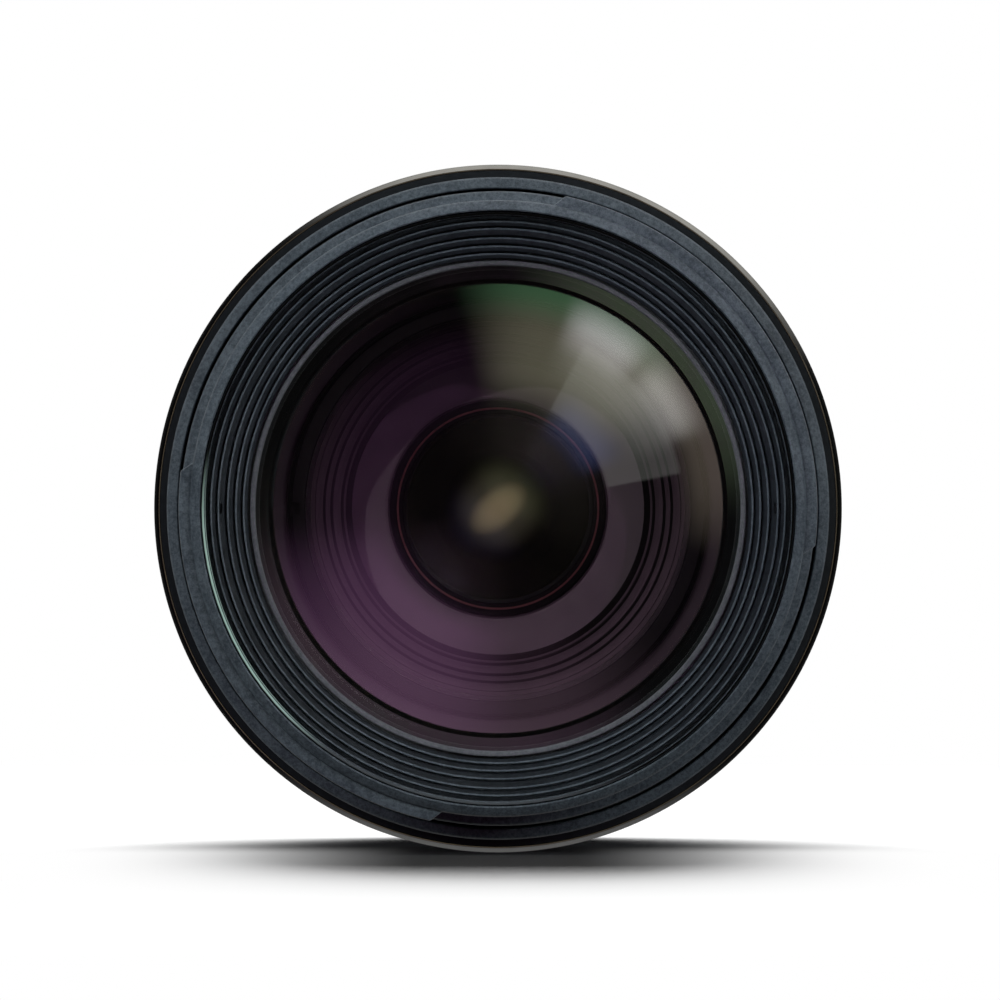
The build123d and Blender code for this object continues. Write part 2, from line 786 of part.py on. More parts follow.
# The iris: a housing plate with seven pivots, stepped leaves, a drive ring behind them and a cover
leaf_count = 7
leaf_inner_radius = 10.6
leaf_outer_radius = 15.4
leaf_start = -6.0
leaf_span = 121.0
leaf_thickness = 0.12
leaf_pitch = 0.16
leaf_turn = 28.0
pivot_distance = 16.8
pivot_radius = 0.5
pivot_ear_radius = 1.2
drive_arm = 3.0
drive_pin_radius = 0.5
drive_ear_radius = 0.9
drive_clearance = 0.12
iris_plate_thickness = 1.0
iris_opening = 11.0
iris_wall = 1.5
iris_wall_bore = 23.2
iris_ring_bore = 17.8
iris_ring_thickness = 1.0
iris_cover_thickness = 0.8
iris_stack_gap = 0.2
iris_angles = spaced(leaf_count)

iris_plate_front = hub_back
iris_plate_back = iris_plate_front - iris_plate_thickness
leaf_stack = leaf_pitch * (leaf_count - 1) + leaf_thickness
iris_ring_front = iris_plate_back - iris_stack_gap - leaf_stack - iris_stack_gap
iris_ring_back = iris_ring_front - iris_ring_thickness
iris_cover_front = iris_ring_back - iris_stack_gap
iris_ring_radius = iris_wall_bore - running_clearance

drive_tilt = leaf_turn / 2
drive_tangent = drive_arm * sin(radians(drive_tilt))
drive_radial = pivot_distance + drive_arm * cos(radians(drive_tilt))
drive_angle = degrees(atan2(drive_tangent, drive_radial))
iris_ring_turn = 2 * drive_angle
drive_slot_radius = (drive_radial + pivot_distance + drive_arm) / 2
drive_slot_width = 2 * (drive_pin_radius + drive_clearance)
drive_slot_length = pivot_distance + drive_arm - drive_radial + drive_slot_width

with BuildPart() as iris_housing:
    revolve(
        section(
            (iris_opening, iris_plate_back), (iris_wall_bore, iris_plate_back),
            (iris_wall_bore, iris_cover_front), (iris_wall_bore + iris_wall, iris_cover_front),
            (iris_wall_bore + iris_wall, iris_plate_back), (cell_bore, iris_plate_back),
            (cell_bore, iris_plate_front), (iris_opening, iris_plate_front),
        ),
        axis=OPTICAL_AXIS,
    )
    with BuildSketch(front_plane(iris_plate_back)):
        with PolarLocations(pivot_distance, leaf_count):
            Circle(pivot_radius + running_clearance)
    extrude(amount=iris_plate_thickness, mode=Mode.SUBTRACT)
finish(iris_housing.part, "iris_housing")

for index, angle in enumerate(iris_angles):
    leaf_front = iris_plate_back - iris_stack_gap - leaf_pitch * index
    leaf_plane = front_plane(leaf_front - leaf_thickness, angle)
    with BuildPart() as leaf:
        with BuildSketch(leaf_plane) as leaf_shape:
            with BuildLine():
                inside = CenterArc((0, 0), leaf_inner_radius, leaf_start, leaf_span)
                outside = CenterArc((0, 0), leaf_outer_radius, leaf_start, leaf_span)
                Line(inside @ 0, outside @ 0)
                Line(inside @ 1, outside @ 1)
            make_face()
            SlotCenterPoint(((leaf_outer_radius + pivot_distance) / 2 - pivot_ear_radius, 0),
                            (pivot_distance, 0), 2 * pivot_ear_radius)
            with Locations(((pivot_distance + drive_radial) / 2, -drive_tangent / 2)):
                SlotCenterToCenter(drive_arm, 2 * drive_ear_radius, rotation=-drive_tilt)
        extrude(amount=leaf_thickness)
        with BuildSketch(front_plane(leaf_front, angle)):
            with Locations((pivot_distance, 0)):
                Circle(pivot_radius)
        extrude(amount=iris_plate_front - leaf_front - fine_gap)
        with BuildSketch(front_plane(iris_ring_back + fine_gap, angle)):
            with Locations((drive_radial, -drive_tangent)):
                Circle(drive_pin_radius)
        extrude(amount=leaf_front - iris_ring_back - fine_gap)
    finish(leaf.part, f"iris_leaf_{index + 1}")

with BuildPart() as iris_ring:
    revolve(ring(iris_ring_bore, iris_ring_radius, iris_ring_back, iris_ring_front), axis=OPTICAL_AXIS)
    with BuildSketch(front_plane(iris_ring_back, -drive_angle)):
        with PolarLocations(drive_slot_radius, leaf_count):
            SlotOverall(drive_slot_length, drive_slot_width)
    extrude(amount=iris_ring_thickness, mode=Mode.SUBTRACT)
finish(iris_ring.part, "iris_ring")

with BuildPart() as iris_cover:
    revolve(
        ring(iris_opening, iris_wall_bore + iris_wall, iris_cover_front - iris_cover_thickness,
             iris_cover_front),
        axis=OPTICAL_AXIS,
    )
finish(iris_cover.part, "iris_cover")

motor_radius = 2.4
motor_distance = 22.0
motor_angle = 270.0
with BuildPart() as iris_motor:
    with BuildSketch(front_plane(iris_plate_front, motor_angle)):
        with Locations((motor_distance, 0)):
            Circle(motor_radius)
    extrude(amount=plate_back - iris_plate_front)
finish(iris_motor.part, "iris_motor")

# The focusing cell slides in the rear of the guide tube
focus_cell_behind = 4.0
focus_cell_ahead = 4.5
focus_web = 2.0
focus_edge_radius = 14.0
focus_hub_wall = 1.5
focus_edge_thickness = 4.5
focus_curve = 35.0
focus_clear = 12.8
focus_rear_curve = 45.0
focus_rear_clear = 12.5
focus_lip = 1.4
focus_ring_thickness = 1.2

focus_bore = focus_edge_radius + seat_clearance
focus_hub_back = focus_roller_place - focus_cell_behind
focus_hub_front = focus_roller_place + focus_cell_ahead - focus_ring_thickness
focus_seat = focus_hub_back + focus_lip
focus_rear_edge = focus_seat
focus_edge = focus_rear_edge + focus_edge_thickness

with BuildPart() as focus_cell:
    revolve(
        section(
            (focus_rear_clear + fine_gap, focus_hub_back), (focus_bore + focus_hub_wall, focus_hub_back),
            (focus_bore + focus_hub_wall, focus_roller_place - focus_web / 2),
            (cell_bore, focus_roller_place - focus_web / 2), (cell_bore, focus_hub_back),
            (cell_radius, focus_hub_back), (cell_radius, focus_roller_place + focus_cell_ahead),
            (cell_bore, focus_roller_place + focus_cell_ahead),
            (cell_bore, focus_roller_place + focus_web / 2),
            (focus_bore + focus_hub_wall, focus_roller_place + focus_web / 2),
            (focus_bore + focus_hub_wall, focus_edge + focus_ring_thickness),
            (focus_bore, focus_edge + focus_ring_thickness), (focus_bore, focus_seat),
            (focus_rear_clear + fine_gap, focus_seat),
        ),
        axis=OPTICAL_AXIS,
    )
    for angle in focus_roller_angles:
        radial_hole(angle, focus_roller_place, cell_bore - cell_wall, guide_radius, roller_stem_radius)
finish(focus_cell.part, "focus_cell")

with BuildPart() as focus_rollers:
    for angle in focus_roller_angles:
        roller(angle, focus_roller_place, cell_bore, cell_radius, cam_radius - part_gap,
               cam_radius - part_gap)
finish(focus_rollers.part, "focus_rollers")

with BuildPart() as focus_element:
    revolve(
        element_section(focus_edge, focus_curve, focus_clear, focus_rear_edge, focus_rear_curve,
                        focus_rear_clear, focus_edge_radius),
        axis=OPTICAL_AXIS,
    )
finish(focus_element.part, "focus_element")

with BuildPart() as focus_retaining_ring:
    retaining_ring(focus_clear + fine_gap, focus_edge_radius, focus_edge, focus_edge + focus_ring_thickness)
finish(focus_retaining_ring.part, "focus_retaining_ring")

# The rear cell is fixed in the guide tube and holds the relay element and the rear element
rear_edge_radius = 17.0
rear_hub_wall = 1.5
rear_clear = 15.7
rear_hub_back = 3.5
rear_lip = 1.0
rear_edge_thickness = 3.5
rear_curve = 60.0
rear_front_curve = 50.0
relay_gap = 4.0
relay_edge_thickness = 2.0
relay_curve = 40.0
rear_ring_thickness = 1.5
rear_flange_place = 12.0
rear_flange_thickness = 2.0

rear_bore = rear_edge_radius + seat_clearance
rear_seat = rear_hub_back + rear_lip
rear_front_edge = rear_seat + rear_edge_thickness
relay_back_edge = rear_front_edge + relay_gap
relay_front_edge = relay_back_edge + relay_edge_thickness
rear_hub_front = relay_front_edge + rear_ring_thickness + fine_gap
shoulder_bore = rear_clear + fine_gap

with BuildPart() as rear_cell:
    revolve(
        section(
            (shoulder_bore, rear_hub_back), (rear_bore + rear_hub_wall, rear_hub_back),
            (rear_bore + rear_hub_wall, rear_flange_place), (guide_bore, rear_flange_place),
            (guide_bore, rear_flange_place + rear_flange_thickness),
            (rear_bore + rear_hub_wall, rear_flange_place + rear_flange_thickness),
            (rear_bore + rear_hub_wall, rear_hub_front), (rear_bore, rear_hub_front),
            (rear_bore, relay_back_edge), (shoulder_bore, relay_back_edge), (shoulder_bore, rear_front_edge),
            (rear_bore, rear_front_edge), (rear_bore, rear_seat), (shoulder_bore, rear_seat),
        ),
        axis=OPTICAL_AXIS,
    )
finish(rear_cell.part, "rear_cell")

with BuildPart() as rear_element:
    revolve(
        element_section(rear_front_edge, -rear_front_curve, rear_clear, rear_seat, -rear_curve, rear_clear,
                        rear_edge_radius),
        axis=OPTICAL_AXIS,
    )
finish(rear_element.part, "rear_element")

with BuildPart() as relay_element:
    revolve(
        element_section(relay_front_edge, relay_curve, rear_clear, relay_back_edge, -relay_curve, rear_clear,
                        rear_edge_radius),
        axis=OPTICAL_AXIS,
    )
finish(relay_element.part, "relay_element")

with BuildPart() as rear_retaining_ring:
    retaining_ring(shoulder_bore, rear_edge_radius, relay_front_edge, relay_front_edge + rear_ring_thickness)
finish(rear_retaining_ring.part, "rear_retaining_ring")

# The mount: a metal plate with a flange, a spigot and three bayonet lugs, and a rubber seal round it
mounting_face_width = 8.0
spigot_wall = 2.0
spigot_length = 5.6
mount_lug_height = 2.0
mount_lug_thickness = 1.8
mount_lug_tip = 1.0
mount_lug_span = 56.0
mount_lug_angle = 62.0
flange_radius = 32.6
seal_wall = 0.7
seal_set_back = 0.2
mount_screw_count = 4
mount_screw_inset = 3.4
mount_screw_angle = 45.0
mount_screw_radius = 0.95
mount_screw_head = 1.9
mount_screw_head_depth = 1.1
mount_screw_length = 3.2
lock_hole_radius = 1.6
lock_hole_depth = 1.4
lock_hole_angle = 0.0
screw_sink = 0.1

spigot_radius = flange_radius - mounting_face_width
spigot_bore = spigot_radius - spigot_wall
mount_lug_radius = spigot_radius + mount_lug_height
mount_lug_angles = spaced(3, mount_lug_angle)
mount_screw_distance = flange_radius - mount_screw_inset

with BuildPart() as mount_plate:
    revolve(
        section(
            (spigot_bore, -spigot_length), (spigot_radius, -spigot_length), (spigot_radius, 0),
            (flange_radius, 0), (flange_radius, flange_thickness), (spigot_bore, flange_thickness),
        ),
        axis=OPTICAL_AXIS,
    )
    for start in mount_lug_angles:
        lug_face = sector(-spigot_length + mount_lug_tip, spigot_radius - 0.2, mount_lug_radius, start,
                          mount_lug_span, 1)
        extrude(lug_face, amount=mount_lug_thickness)
    with BuildSketch(front_plane(0, mount_screw_angle)):
        with PolarLocations(mount_screw_distance, mount_screw_count):
            Circle(mount_screw_head)
    extrude(amount=mount_screw_head_depth, mode=Mode.SUBTRACT)
    with BuildSketch(front_plane(0, mount_screw_angle)):
        with PolarLocations(mount_screw_distance, mount_screw_count):
            Circle(mount_screw_radius)
    extrude(amount=flange_thickness, mode=Mode.SUBTRACT)
    with BuildSketch(front_plane(0, lock_hole_angle)):
        with Locations((mount_screw_distance, 0)):
            Circle(lock_hole_radius)
    extrude(amount=lock_hole_depth, mode=Mode.SUBTRACT)
finish(mount_plate.part, "mount_plate")

with BuildPart() as mount_screws:
    with BuildSketch(front_plane(screw_sink, mount_screw_angle)):
        with PolarLocations(mount_screw_distance, mount_screw_count):
            Circle(mount_screw_head)
    extrude(amount=mount_screw_head_depth - screw_sink)
    with BuildSketch(front_plane(mount_screw_head_depth, mount_screw_angle)):
        with PolarLocations(mount_screw_distance, mount_screw_count):
            Circle(mount_screw_radius)
    extrude(amount=mount_screw_length - mount_screw_head_depth)
finish(mount_screws.part, "mount_screws")

with BuildPart() as mount_seal:
    revolve(
        ring(flange_radius, flange_radius + seal_wall, seal_set_back, flange_thickness),
        axis=OPTICAL_AXIS,
    )
finish(mount_seal.part, "mount_seal")

# The rear baffle lines the spigot; the contact block fills a gap in it, with a row of gilt pins
baffle_wall = 1.0
baffle_floor = 0.8
baffle_floor_place = -3.4
opening_margins = (6.1, 11.1)
opening_corner = 4.0
block_depth = 4.0
block_start = 246.0
block_span = 48.0
block_back = -4.9
pin_count = 9
pin_spacing = 4.6
pin_inset = 1.8
pin_radius = 0.55
pin_proud = 0.25
pin_depth = 1.2
block_front = 1.0
baffle_front = 1.0
block_inner = spigot_bore - block_depth
pin_distance = spigot_bore - pin_inset
rear_opening = [2 * (spigot_bore - margin) for margin in opening_margins]
block_middle = block_start + block_span / 2
pin_angles = [block_middle + pin_spacing * (i - (pin_count - 1) / 2) for i in range(pin_count)]

with BuildPart() as contact_block:
    block_face = sector(block_back, block_inner, spigot_bore, block_start, block_span)
    extrude(block_face, amount=block_front - block_back)
    for angle in pin_angles:
        with BuildSketch(front_plane(block_back, angle)):
            with Locations((pin_distance, 0)):
                Circle(pin_radius)
        extrude(amount=pin_depth, mode=Mode.SUBTRACT)
finish(contact_block.part, "contact_block")

with BuildPart() as contact_pins:
    for angle in pin_angles:
        with BuildSketch(front_plane(block_back - pin_proud, angle)):
            with Locations((pin_distance, 0)):
                Circle(pin_radius)
        extrude(amount=pin_depth + pin_proud)
finish(contact_pins.part, "contact_pins")

with BuildPart() as rear_baffle:
    revolve(
        section(
            (0, baffle_floor_place), (spigot_bore, baffle_floor_place), (spigot_bore, baffle_front),
            (spigot_bore - baffle_wall, baffle_front),
            (spigot_bore - baffle_wall, baffle_floor_place + baffle_floor),
            (0, baffle_floor_place + baffle_floor),
        ),
        axis=OPTICAL_AXIS,
    )
    with BuildSketch(front_plane(baffle_floor_place)):
        RectangleRounded(*rear_opening, opening_corner)
    extrude(amount=baffle_floor, mode=Mode.SUBTRACT)
    extrude(sector(block_back, block_inner, spigot_bore + baffle_wall, block_start, block_span),
            amount=baffle_front - block_back + baffle_wall, mode=Mode.SUBTRACT)
finish(rear_baffle.part, "rear_baffle")

# The rear barrel widens from the mount to the focus ring; a shelf inside it carries the guide tube
barrel_back_radius = flange_radius + seal_wall
back_bore_step = 1.4
barrel_floor = 1.6
taper_start = 4.5
taper_end = 12.0
shelf_thickness = 2.0
shelf_width = 4.3
board_wall = 1.7
rear_barrel_wall = 2.3
board_thickness = 1.0
chip_height = 0.9
barrel_floor_front = flange_thickness + barrel_floor
board_gap = 0.2
board_bore_step = 0.5
chip_size = (4.0, 6.0)
chip_count = 5
chip_angle = 10.0
shelf_front_space = 2.0
guide_flange_gap = 0.3
barrel_back_bore = spigot_bore + back_bore_step
board_bore = barrel_back_bore + board_bore_step
board_radius = barrel_back_radius - board_wall - board_gap
shelf_bore = barrel_back_radius - shelf_width

# The switch: a panel let into a flat on the barrel, and a knob that slides along the axis
switch_angle = 0.0
switch_place = 17.0
panel_length = 8.0
panel_width = 11.0
panel_thickness = 0.8
panel_proud = 0.1
knob_stem = (3.0, 2.2)
knob_base = (4.4, 4.0)
knob_base_thickness = 0.65
knob_height = 0.9
knob_clearance = 0.2
pocket_floor = 0.55
flat_radius = ring_radius + panel_proud - panel_thickness
pocket_radius = ring_radius - rear_barrel_wall + pocket_floor
pocket_length = knob_base[0] + switch_travel + 2 * knob_clearance
knob_place = switch_place - switch_travel / 2
knob_base_radius = pocket_radius + fine_gap
knob_stem_radius = knob_base_radius + knob_base_thickness

with BuildPart() as rear_barrel:
    revolve(
        section(
            (barrel_back_bore, flange_thickness), (barrel_back_radius, flange_thickness),
            (barrel_back_radius, taper_start), (ring_radius, taper_end), (ring_radius, rear_barrel_end),
            (ring_radius - rear_barrel_wall, rear_barrel_end),
            (ring_radius - rear_barrel_wall, guide_back + shelf_front_space),
            (guide_flange_radius + guide_flange_gap, guide_back),
            (shelf_bore, guide_back), (shelf_bore, guide_back - shelf_thickness),
            (barrel_back_radius - board_wall, guide_back - shelf_thickness),
            (barrel_back_radius - board_wall, barrel_floor_front), (barrel_back_bore, barrel_floor_front),
        ),
        axis=OPTICAL_AXIS,
    )
    with BuildSketch(front_plane(flange_thickness, mount_screw_angle)):
        with PolarLocations(mount_screw_distance, mount_screw_count):
            Circle(mount_screw_radius)
    extrude(amount=mount_screw_length - flange_thickness, mode=Mode.SUBTRACT)
    with BuildSketch(front_plane(guide_back - guide_screw_length, guide_screw_angle)):
        with PolarLocations(guide_screw_distance, guide_screw_count):
            Circle(guide_screw_radius)
    extrude(amount=guide_screw_length, mode=Mode.SUBTRACT)
    with BuildSketch(radial_plane(switch_angle, switch_place, flat_radius)):
        Rectangle(panel_length, panel_width)
    extrude(amount=grip_thickness, mode=Mode.SUBTRACT)
    with BuildSketch(radial_plane(switch_angle, switch_place, pocket_radius)):
        Rectangle(pocket_length, knob_base[1] + 2 * knob_clearance)
    extrude(amount=grip_thickness, mode=Mode.SUBTRACT)
finish(rear_barrel.part, "rear_barrel")

with BuildPart() as switch_panel:
    with BuildSketch(radial_plane(switch_angle, switch_place, flat_radius)):
        Rectangle(panel_length, panel_width)
    extrude(amount=panel_thickness)
    with BuildSketch(radial_plane(switch_angle, switch_place, flat_radius)):
        Rectangle(knob_stem[0] + switch_travel + 2 * knob_clearance, knob_stem[1] + 2 * knob_clearance)
    extrude(amount=panel_thickness, mode=Mode.SUBTRACT)
finish(switch_panel.part, "switch_panel")

with BuildPart() as focus_switch:
    with BuildSketch(radial_plane(switch_angle, knob_place, knob_base_radius)):
        Rectangle(*knob_base)
    extrude(amount=knob_base_thickness)
    with BuildSketch(radial_plane(switch_angle, knob_place, knob_stem_radius)):
        Rectangle(*knob_stem)
    extrude(amount=flat_radius + panel_thickness + knob_height - knob_stem_radius)
finish(focus_switch.part, "focus_switch")

with BuildPart() as circuit_board:
    revolve(ring(board_bore, board_radius, barrel_floor_front, barrel_floor_front + board_thickness),
            axis=OPTICAL_AXIS)
    with BuildSketch(front_plane(barrel_floor_front + board_thickness)):
        with PolarLocations((board_bore + board_radius) / 2, chip_count, start_angle=chip_angle):
            Rectangle(*chip_size)
    extrude(amount=chip_height)
finish(circuit_board.part, "circuit_board")

# The ring motor: a fixed stator round the guide tube and a rotor that turns with the focus barrel
stator_gap = 1.0
stator_length = 4.4
rotor_gap = 0.3
motor_wall_gap = 0.3
stator_back = guide_back + guide_flange_thickness + guide_screw_head_height + stator_gap
stator_front = stator_back + stator_length
motor_outer = ring_radius - rear_barrel_wall - motor_wall_gap

with BuildPart() as motor_stator:
    revolve(ring(guide_radius, motor_outer, stator_back, stator_front), axis=OPTICAL_AXIS)
finish(motor_stator.part, "motor_stator")

with BuildPart() as motor_rotor:
    revolve(ring(cam_bore, motor_outer, stator_front + rotor_gap, focus_start), axis=OPTICAL_AXIS)
finish(motor_rotor.part, "motor_rotor")

print("front rim", round(rim, 2), "outer diameter", round(2 * grip_radius, 2))
print("iris ring turn", round(iris_ring_turn, 3), "leaf ratio", round(leaf_turn / iris_ring_turn, 4))
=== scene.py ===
# %% [markdown]
# A wide-angle zoom lens, seen straight from the front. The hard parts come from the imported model:
# this script loads them, gives each one its finish, and builds finer pieces where the real lens has
# turned edges, thread, ribs and coated glass. Lengths are in metres in the scene, and most values
# below are written in millimetres and multiplied by MM.

# %% Load the frame
import json
import math

import bmesh
import bpy
from mathutils import Matrix, Vector


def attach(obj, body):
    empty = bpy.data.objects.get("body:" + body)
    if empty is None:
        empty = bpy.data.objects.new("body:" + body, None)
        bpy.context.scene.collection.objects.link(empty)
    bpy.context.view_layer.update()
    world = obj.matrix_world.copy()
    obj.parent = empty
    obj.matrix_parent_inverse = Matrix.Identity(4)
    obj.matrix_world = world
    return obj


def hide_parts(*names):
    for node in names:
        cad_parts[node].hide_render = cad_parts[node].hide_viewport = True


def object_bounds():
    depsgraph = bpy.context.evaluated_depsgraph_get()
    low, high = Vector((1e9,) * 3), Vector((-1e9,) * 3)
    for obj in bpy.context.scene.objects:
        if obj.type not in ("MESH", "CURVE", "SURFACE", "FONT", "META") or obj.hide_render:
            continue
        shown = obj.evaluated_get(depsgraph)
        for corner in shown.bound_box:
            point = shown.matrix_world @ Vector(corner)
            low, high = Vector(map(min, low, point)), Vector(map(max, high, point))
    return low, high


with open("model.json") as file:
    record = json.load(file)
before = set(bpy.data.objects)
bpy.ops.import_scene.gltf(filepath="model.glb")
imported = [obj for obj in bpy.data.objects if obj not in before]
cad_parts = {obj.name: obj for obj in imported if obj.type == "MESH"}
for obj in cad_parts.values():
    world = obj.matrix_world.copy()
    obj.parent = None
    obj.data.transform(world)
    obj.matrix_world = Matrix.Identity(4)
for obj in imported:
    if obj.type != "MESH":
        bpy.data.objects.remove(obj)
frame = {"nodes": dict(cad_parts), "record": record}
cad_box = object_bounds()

MM = 0.001
NODES = frame["nodes"]


# %% [markdown]
# Finishes are written as small formulas. A Value wraps one output of a node, so that a sum such as
# 1 - mask adds its Math nodes by itself. Everything else goes through Graph.add, which takes the
# node's type, its settings and its inputs. The same two classes also write the geometry trees that
# shape the pieces, because a geometry tree has the same Math nodes.

# %% Node arithmetic
class Value:
    """One output in a node tree, which can be added, multiplied and compared."""

    def __init__(self, graph, socket):
        self.graph, self.socket = graph, socket

    def math(self, operation, *others):
        values = {0: self, **{i + 1: other for i, other in enumerate(others)}}
        return self.graph.add("ShaderNodeMath", {"operation": operation}, values)

    def __add__(self, other):
        return self.math("ADD", other)

    def __sub__(self, other):
        return self.math("SUBTRACT", other)

    def __mul__(self, other):
        return self.math("MULTIPLY", other)

    def __truediv__(self, other):
        return self.math("DIVIDE", other)

    def __pow__(self, other):
        return self.math("POWER", other)

    def __rsub__(self, other):
        return self.math("MULTIPLY", -1.0).math("ADD", other)

    __radd__ = __add__
    __rmul__ = __mul__

    def smooth(self, low, high):
        """Rises smoothly from 0 at low to 1 at high; low may be the larger."""
        values = {0: self, 1: low, 2: high}
        return self.graph.add("ShaderNodeMapRange", {"interpolation_type": "SMOOTHSTEP"}, values)


# %% Graph of nodes
class Graph:
    """A node tree with one method that adds any node."""

    def __init__(self, tree):
        self.tree = tree

    def add(self, kind, settings=None, values=None, out=0):
        node = self.tree.nodes.new(kind)
        for name, setting in (settings or {}).items():
            setattr(node, name, setting)
        for name, value in (values or {}).items():
            if isinstance(value, Value):
                self.tree.links.new(value.socket, node.inputs[name])
            else:
                node.inputs[name].default_value = value
        return Value(self, node.outputs[out])

    def split(self, vector):
        """The three numbers of a vector."""
        node = self.tree.nodes.new("ShaderNodeSeparateXYZ")
        self.tree.links.new(vector.socket, node.inputs[0])
        return [Value(self, output) for output in node.outputs]

    def place(self):
        """Right, forward and up at each point of the piece, and the whole point, in millimetres."""
        point = self.add("ShaderNodeTexCoord", out=3)
        scaled = self.add("ShaderNodeVectorMath", {"operation": "SCALE"}, {0: point, "Scale": 1 / MM})
        right, back, up = self.split(scaled)
        return right, back * -1.0, up, scaled

    def noise(self, vector, scale, detail=2.0, roughness=0.5):
        values = {"Vector": vector, "Scale": scale, "Detail": detail, "Roughness": roughness}
        return self.add("ShaderNodeTexNoise", values=values)

    def mix(self, share, first, second):
        values = {0: share, 6: first, 7: second}
        return self.add("ShaderNodeMix", {"data_type": "RGBA"}, values, out=2)

    def bump(self, height, strength, distance):
        values = {"Height": height, "Strength": strength, "Distance": distance * MM}
        return self.add("ShaderNodeBump", values=values)

    def principled(self, **values):
        named = {name.replace("_", " "): value for name, value in values.items()}
        return self.add("ShaderNodeBsdfPrincipled", values=named)

    def surface(self, shader, kind="ShaderNodeOutputMaterial"):
        output = self.tree.nodes.new(kind)
        self.tree.links.new(shader.socket, output.inputs["Surface"])


# %% Finishes by name
FINISHES = {}


def new_finish(name):
    """An empty material, kept under its name, and its graph."""
    material = FINISHES[name] = bpy.data.materials.new(name)
    material.use_nodes = True
    material.node_tree.nodes.clear()
    return Graph(material.node_tree)


def screen(colour):
    """A colour as it looks on screen, 0 to 255, in the linear values that the shaders take."""
    shares = [v / 255 for v in colour]
    return (*[v / 12.92 if v <= 0.04045 else ((v + 0.055) / 1.055) ** 2.4 for v in shares], 1.0)


print("half grey on screen is", round(screen((128, 128, 128))[0], 3), "of the light")


# %% [markdown]
# The shells of the lens are glass-filled plastic, moulded against a mould that was blasted with fine
# grit: matt, slate blue, and mottled where the grit bit deeper. Broad noise gives the mottling, fine
# noise the grit, and the grit also drives the bump, so that every highlight is scattered.

# %% Moulded plastic
def moulded(name, colour, other, rough=0.5, grain=0.5, grain_size=0.16, shine=0.35):
    """Grit-textured plastic: two tones, a grain bump and a roughness that follows the grain."""
    g = new_finish(name)
    point = g.place()[3]
    patches = g.noise(point, 0.3, 3.0)
    mottle = g.noise(point, 2.4, 3.0, 0.65)
    grains = g.noise(point, 1 / grain_size, 2.0, 0.6)
    spread = (patches * 0.25 + mottle * 0.6 + grains * 0.35).smooth(0.42, 0.78)
    tone = g.mix(spread, screen(colour), screen(other))
    normal = g.bump(grains, grain, 0.04)
    g.surface(g.principled(Base_Color=tone, Roughness=grains * 0.2 + (rough - 0.1), Normal=normal,
                           Specular_IOR_Level=shine))


moulded("slate_body", (44, 51, 58), (80, 89, 96), 0.45)
print(*FINISHES)

# %% [markdown]
# Rubber drinks light: nearly black, with a broad weak highlight and a bloom of fine dust in its
# pores. Metal that was cut on a lathe keeps fine rings round the axis, bright on the mount and
# blackened inside, and a sine of the distance from the axis gives them.

# %% Rubber, turned metal and circuit board
def rubbered(name, colour, bloom, shine=0.25):
    """Matt rubber with a pale bloom that noise breaks up."""
    g = new_finish(name)
    point = g.place()[3]
    dust = g.noise(point, 1.4, 4.0, 0.7)
    pores = g.noise(point, 9.0, 2.0)
    tone = g.mix(dust ** 3.0 * 0.6, screen(colour), screen(bloom))
    normal = g.bump(pores, 0.35, 0.03)
    g.surface(g.principled(Base_Color=tone, Roughness=dust * 0.2 + 0.5, Normal=normal,
                           Specular_IOR_Level=shine))


def turned_metal(name, colour, metallic, rough, pitch=0.12, depth=0.25, shine=0.5):
    """Metal or blackened metal with fine rings left by the lathe round the optical axis."""
    g = new_finish(name)
    right, _, up, point = g.place()
    radius = (right * right + up * up).math("SQRT")
    rings = (radius * (2 * math.pi / pitch)).math("SINE")
    uneven = g.noise(point, 0.35, 3.0)
    fresh = screen(colour)
    tone = g.mix(uneven, fresh, (*[0.7 * share for share in fresh[:3]], 1.0))
    normal = g.bump(rings * 0.5 + uneven * 0.3, depth, 0.01)
    g.surface(g.principled(Base_Color=tone, Metallic=metallic, Roughness=uneven * 0.12 + rough,
                           Normal=normal, Specular_IOR_Level=shine))


def laminate(name, resin, trace):
    """Circuit laminate with paler traces."""
    g = new_finish(name)
    right, _, up, point = g.place()
    traces = (up.math("ARCTAN2", right) * 60.0).math("SINE").math("GREATER_THAN", 0.55)
    weave = g.noise(point, 3.0, 2.0)
    tone = g.mix(traces * 0.4 + weave * 0.2, screen(resin), screen(trace))
    g.surface(g.principled(Base_Color=tone, Roughness=weave * 0.2 + 0.3))


# %% [markdown]
# Everything inside a lens is blackened, but no black is equal. The baffle in front of the glass is
# satin blue-black, and the cells behind the glass have a flat paint that looks plum when light rakes
# it. Each is a finish of its own, so that the rings can be told apart through the glass.

# %% Table of finishes
PLASTICS = {
    "inner_barrel_plastic": ((47, 54, 62), (60, 68, 76), 0.42),
    "black_plastic": ((28, 29, 31), (40, 42, 44), 0.5, 0.3),
    "switch_plastic": ((30, 32, 34), (44, 46, 48), 0.35, 0.2),
    "iris_ring_plastic": ((26, 26, 27), (36, 36, 37), 0.5, 0.2),
    "ridge_black": ((11, 14, 17), (23, 27, 31), 0.5, 0.3, 0.5, 0.2),
    # The paler grey of the baffle lip is a painted highlight on its edge.
    "lip_painted_highlight": ((66, 70, 74), (88, 92, 96), 0.35, 0.3, 0.2, 0.4),
    # The paler grey of the rings on the baffle crests is a painted highlight.
    "crest_painted_highlight": ((42, 49, 55), (61, 68, 74), 0.4, 0.3, 0.5, 0.2),
    # seat_black is the near-black of the doublet ring, and also of the painted shade in the cone traps,
    # on the ledge and in the lock hole.
    "seat_black": ((8, 6, 7), (14, 11, 13), 0.6, 0.2, 0.3, 0.1),
    "mark_white": ((206, 208, 208), (228, 230, 230), 0.4, 0.1),
}
RUBBERS = {
    "grip_rubber": ((20, 23, 26), (52, 57, 61)),
    "seal_rubber": ((18, 19, 20), (44, 46, 48)),
}
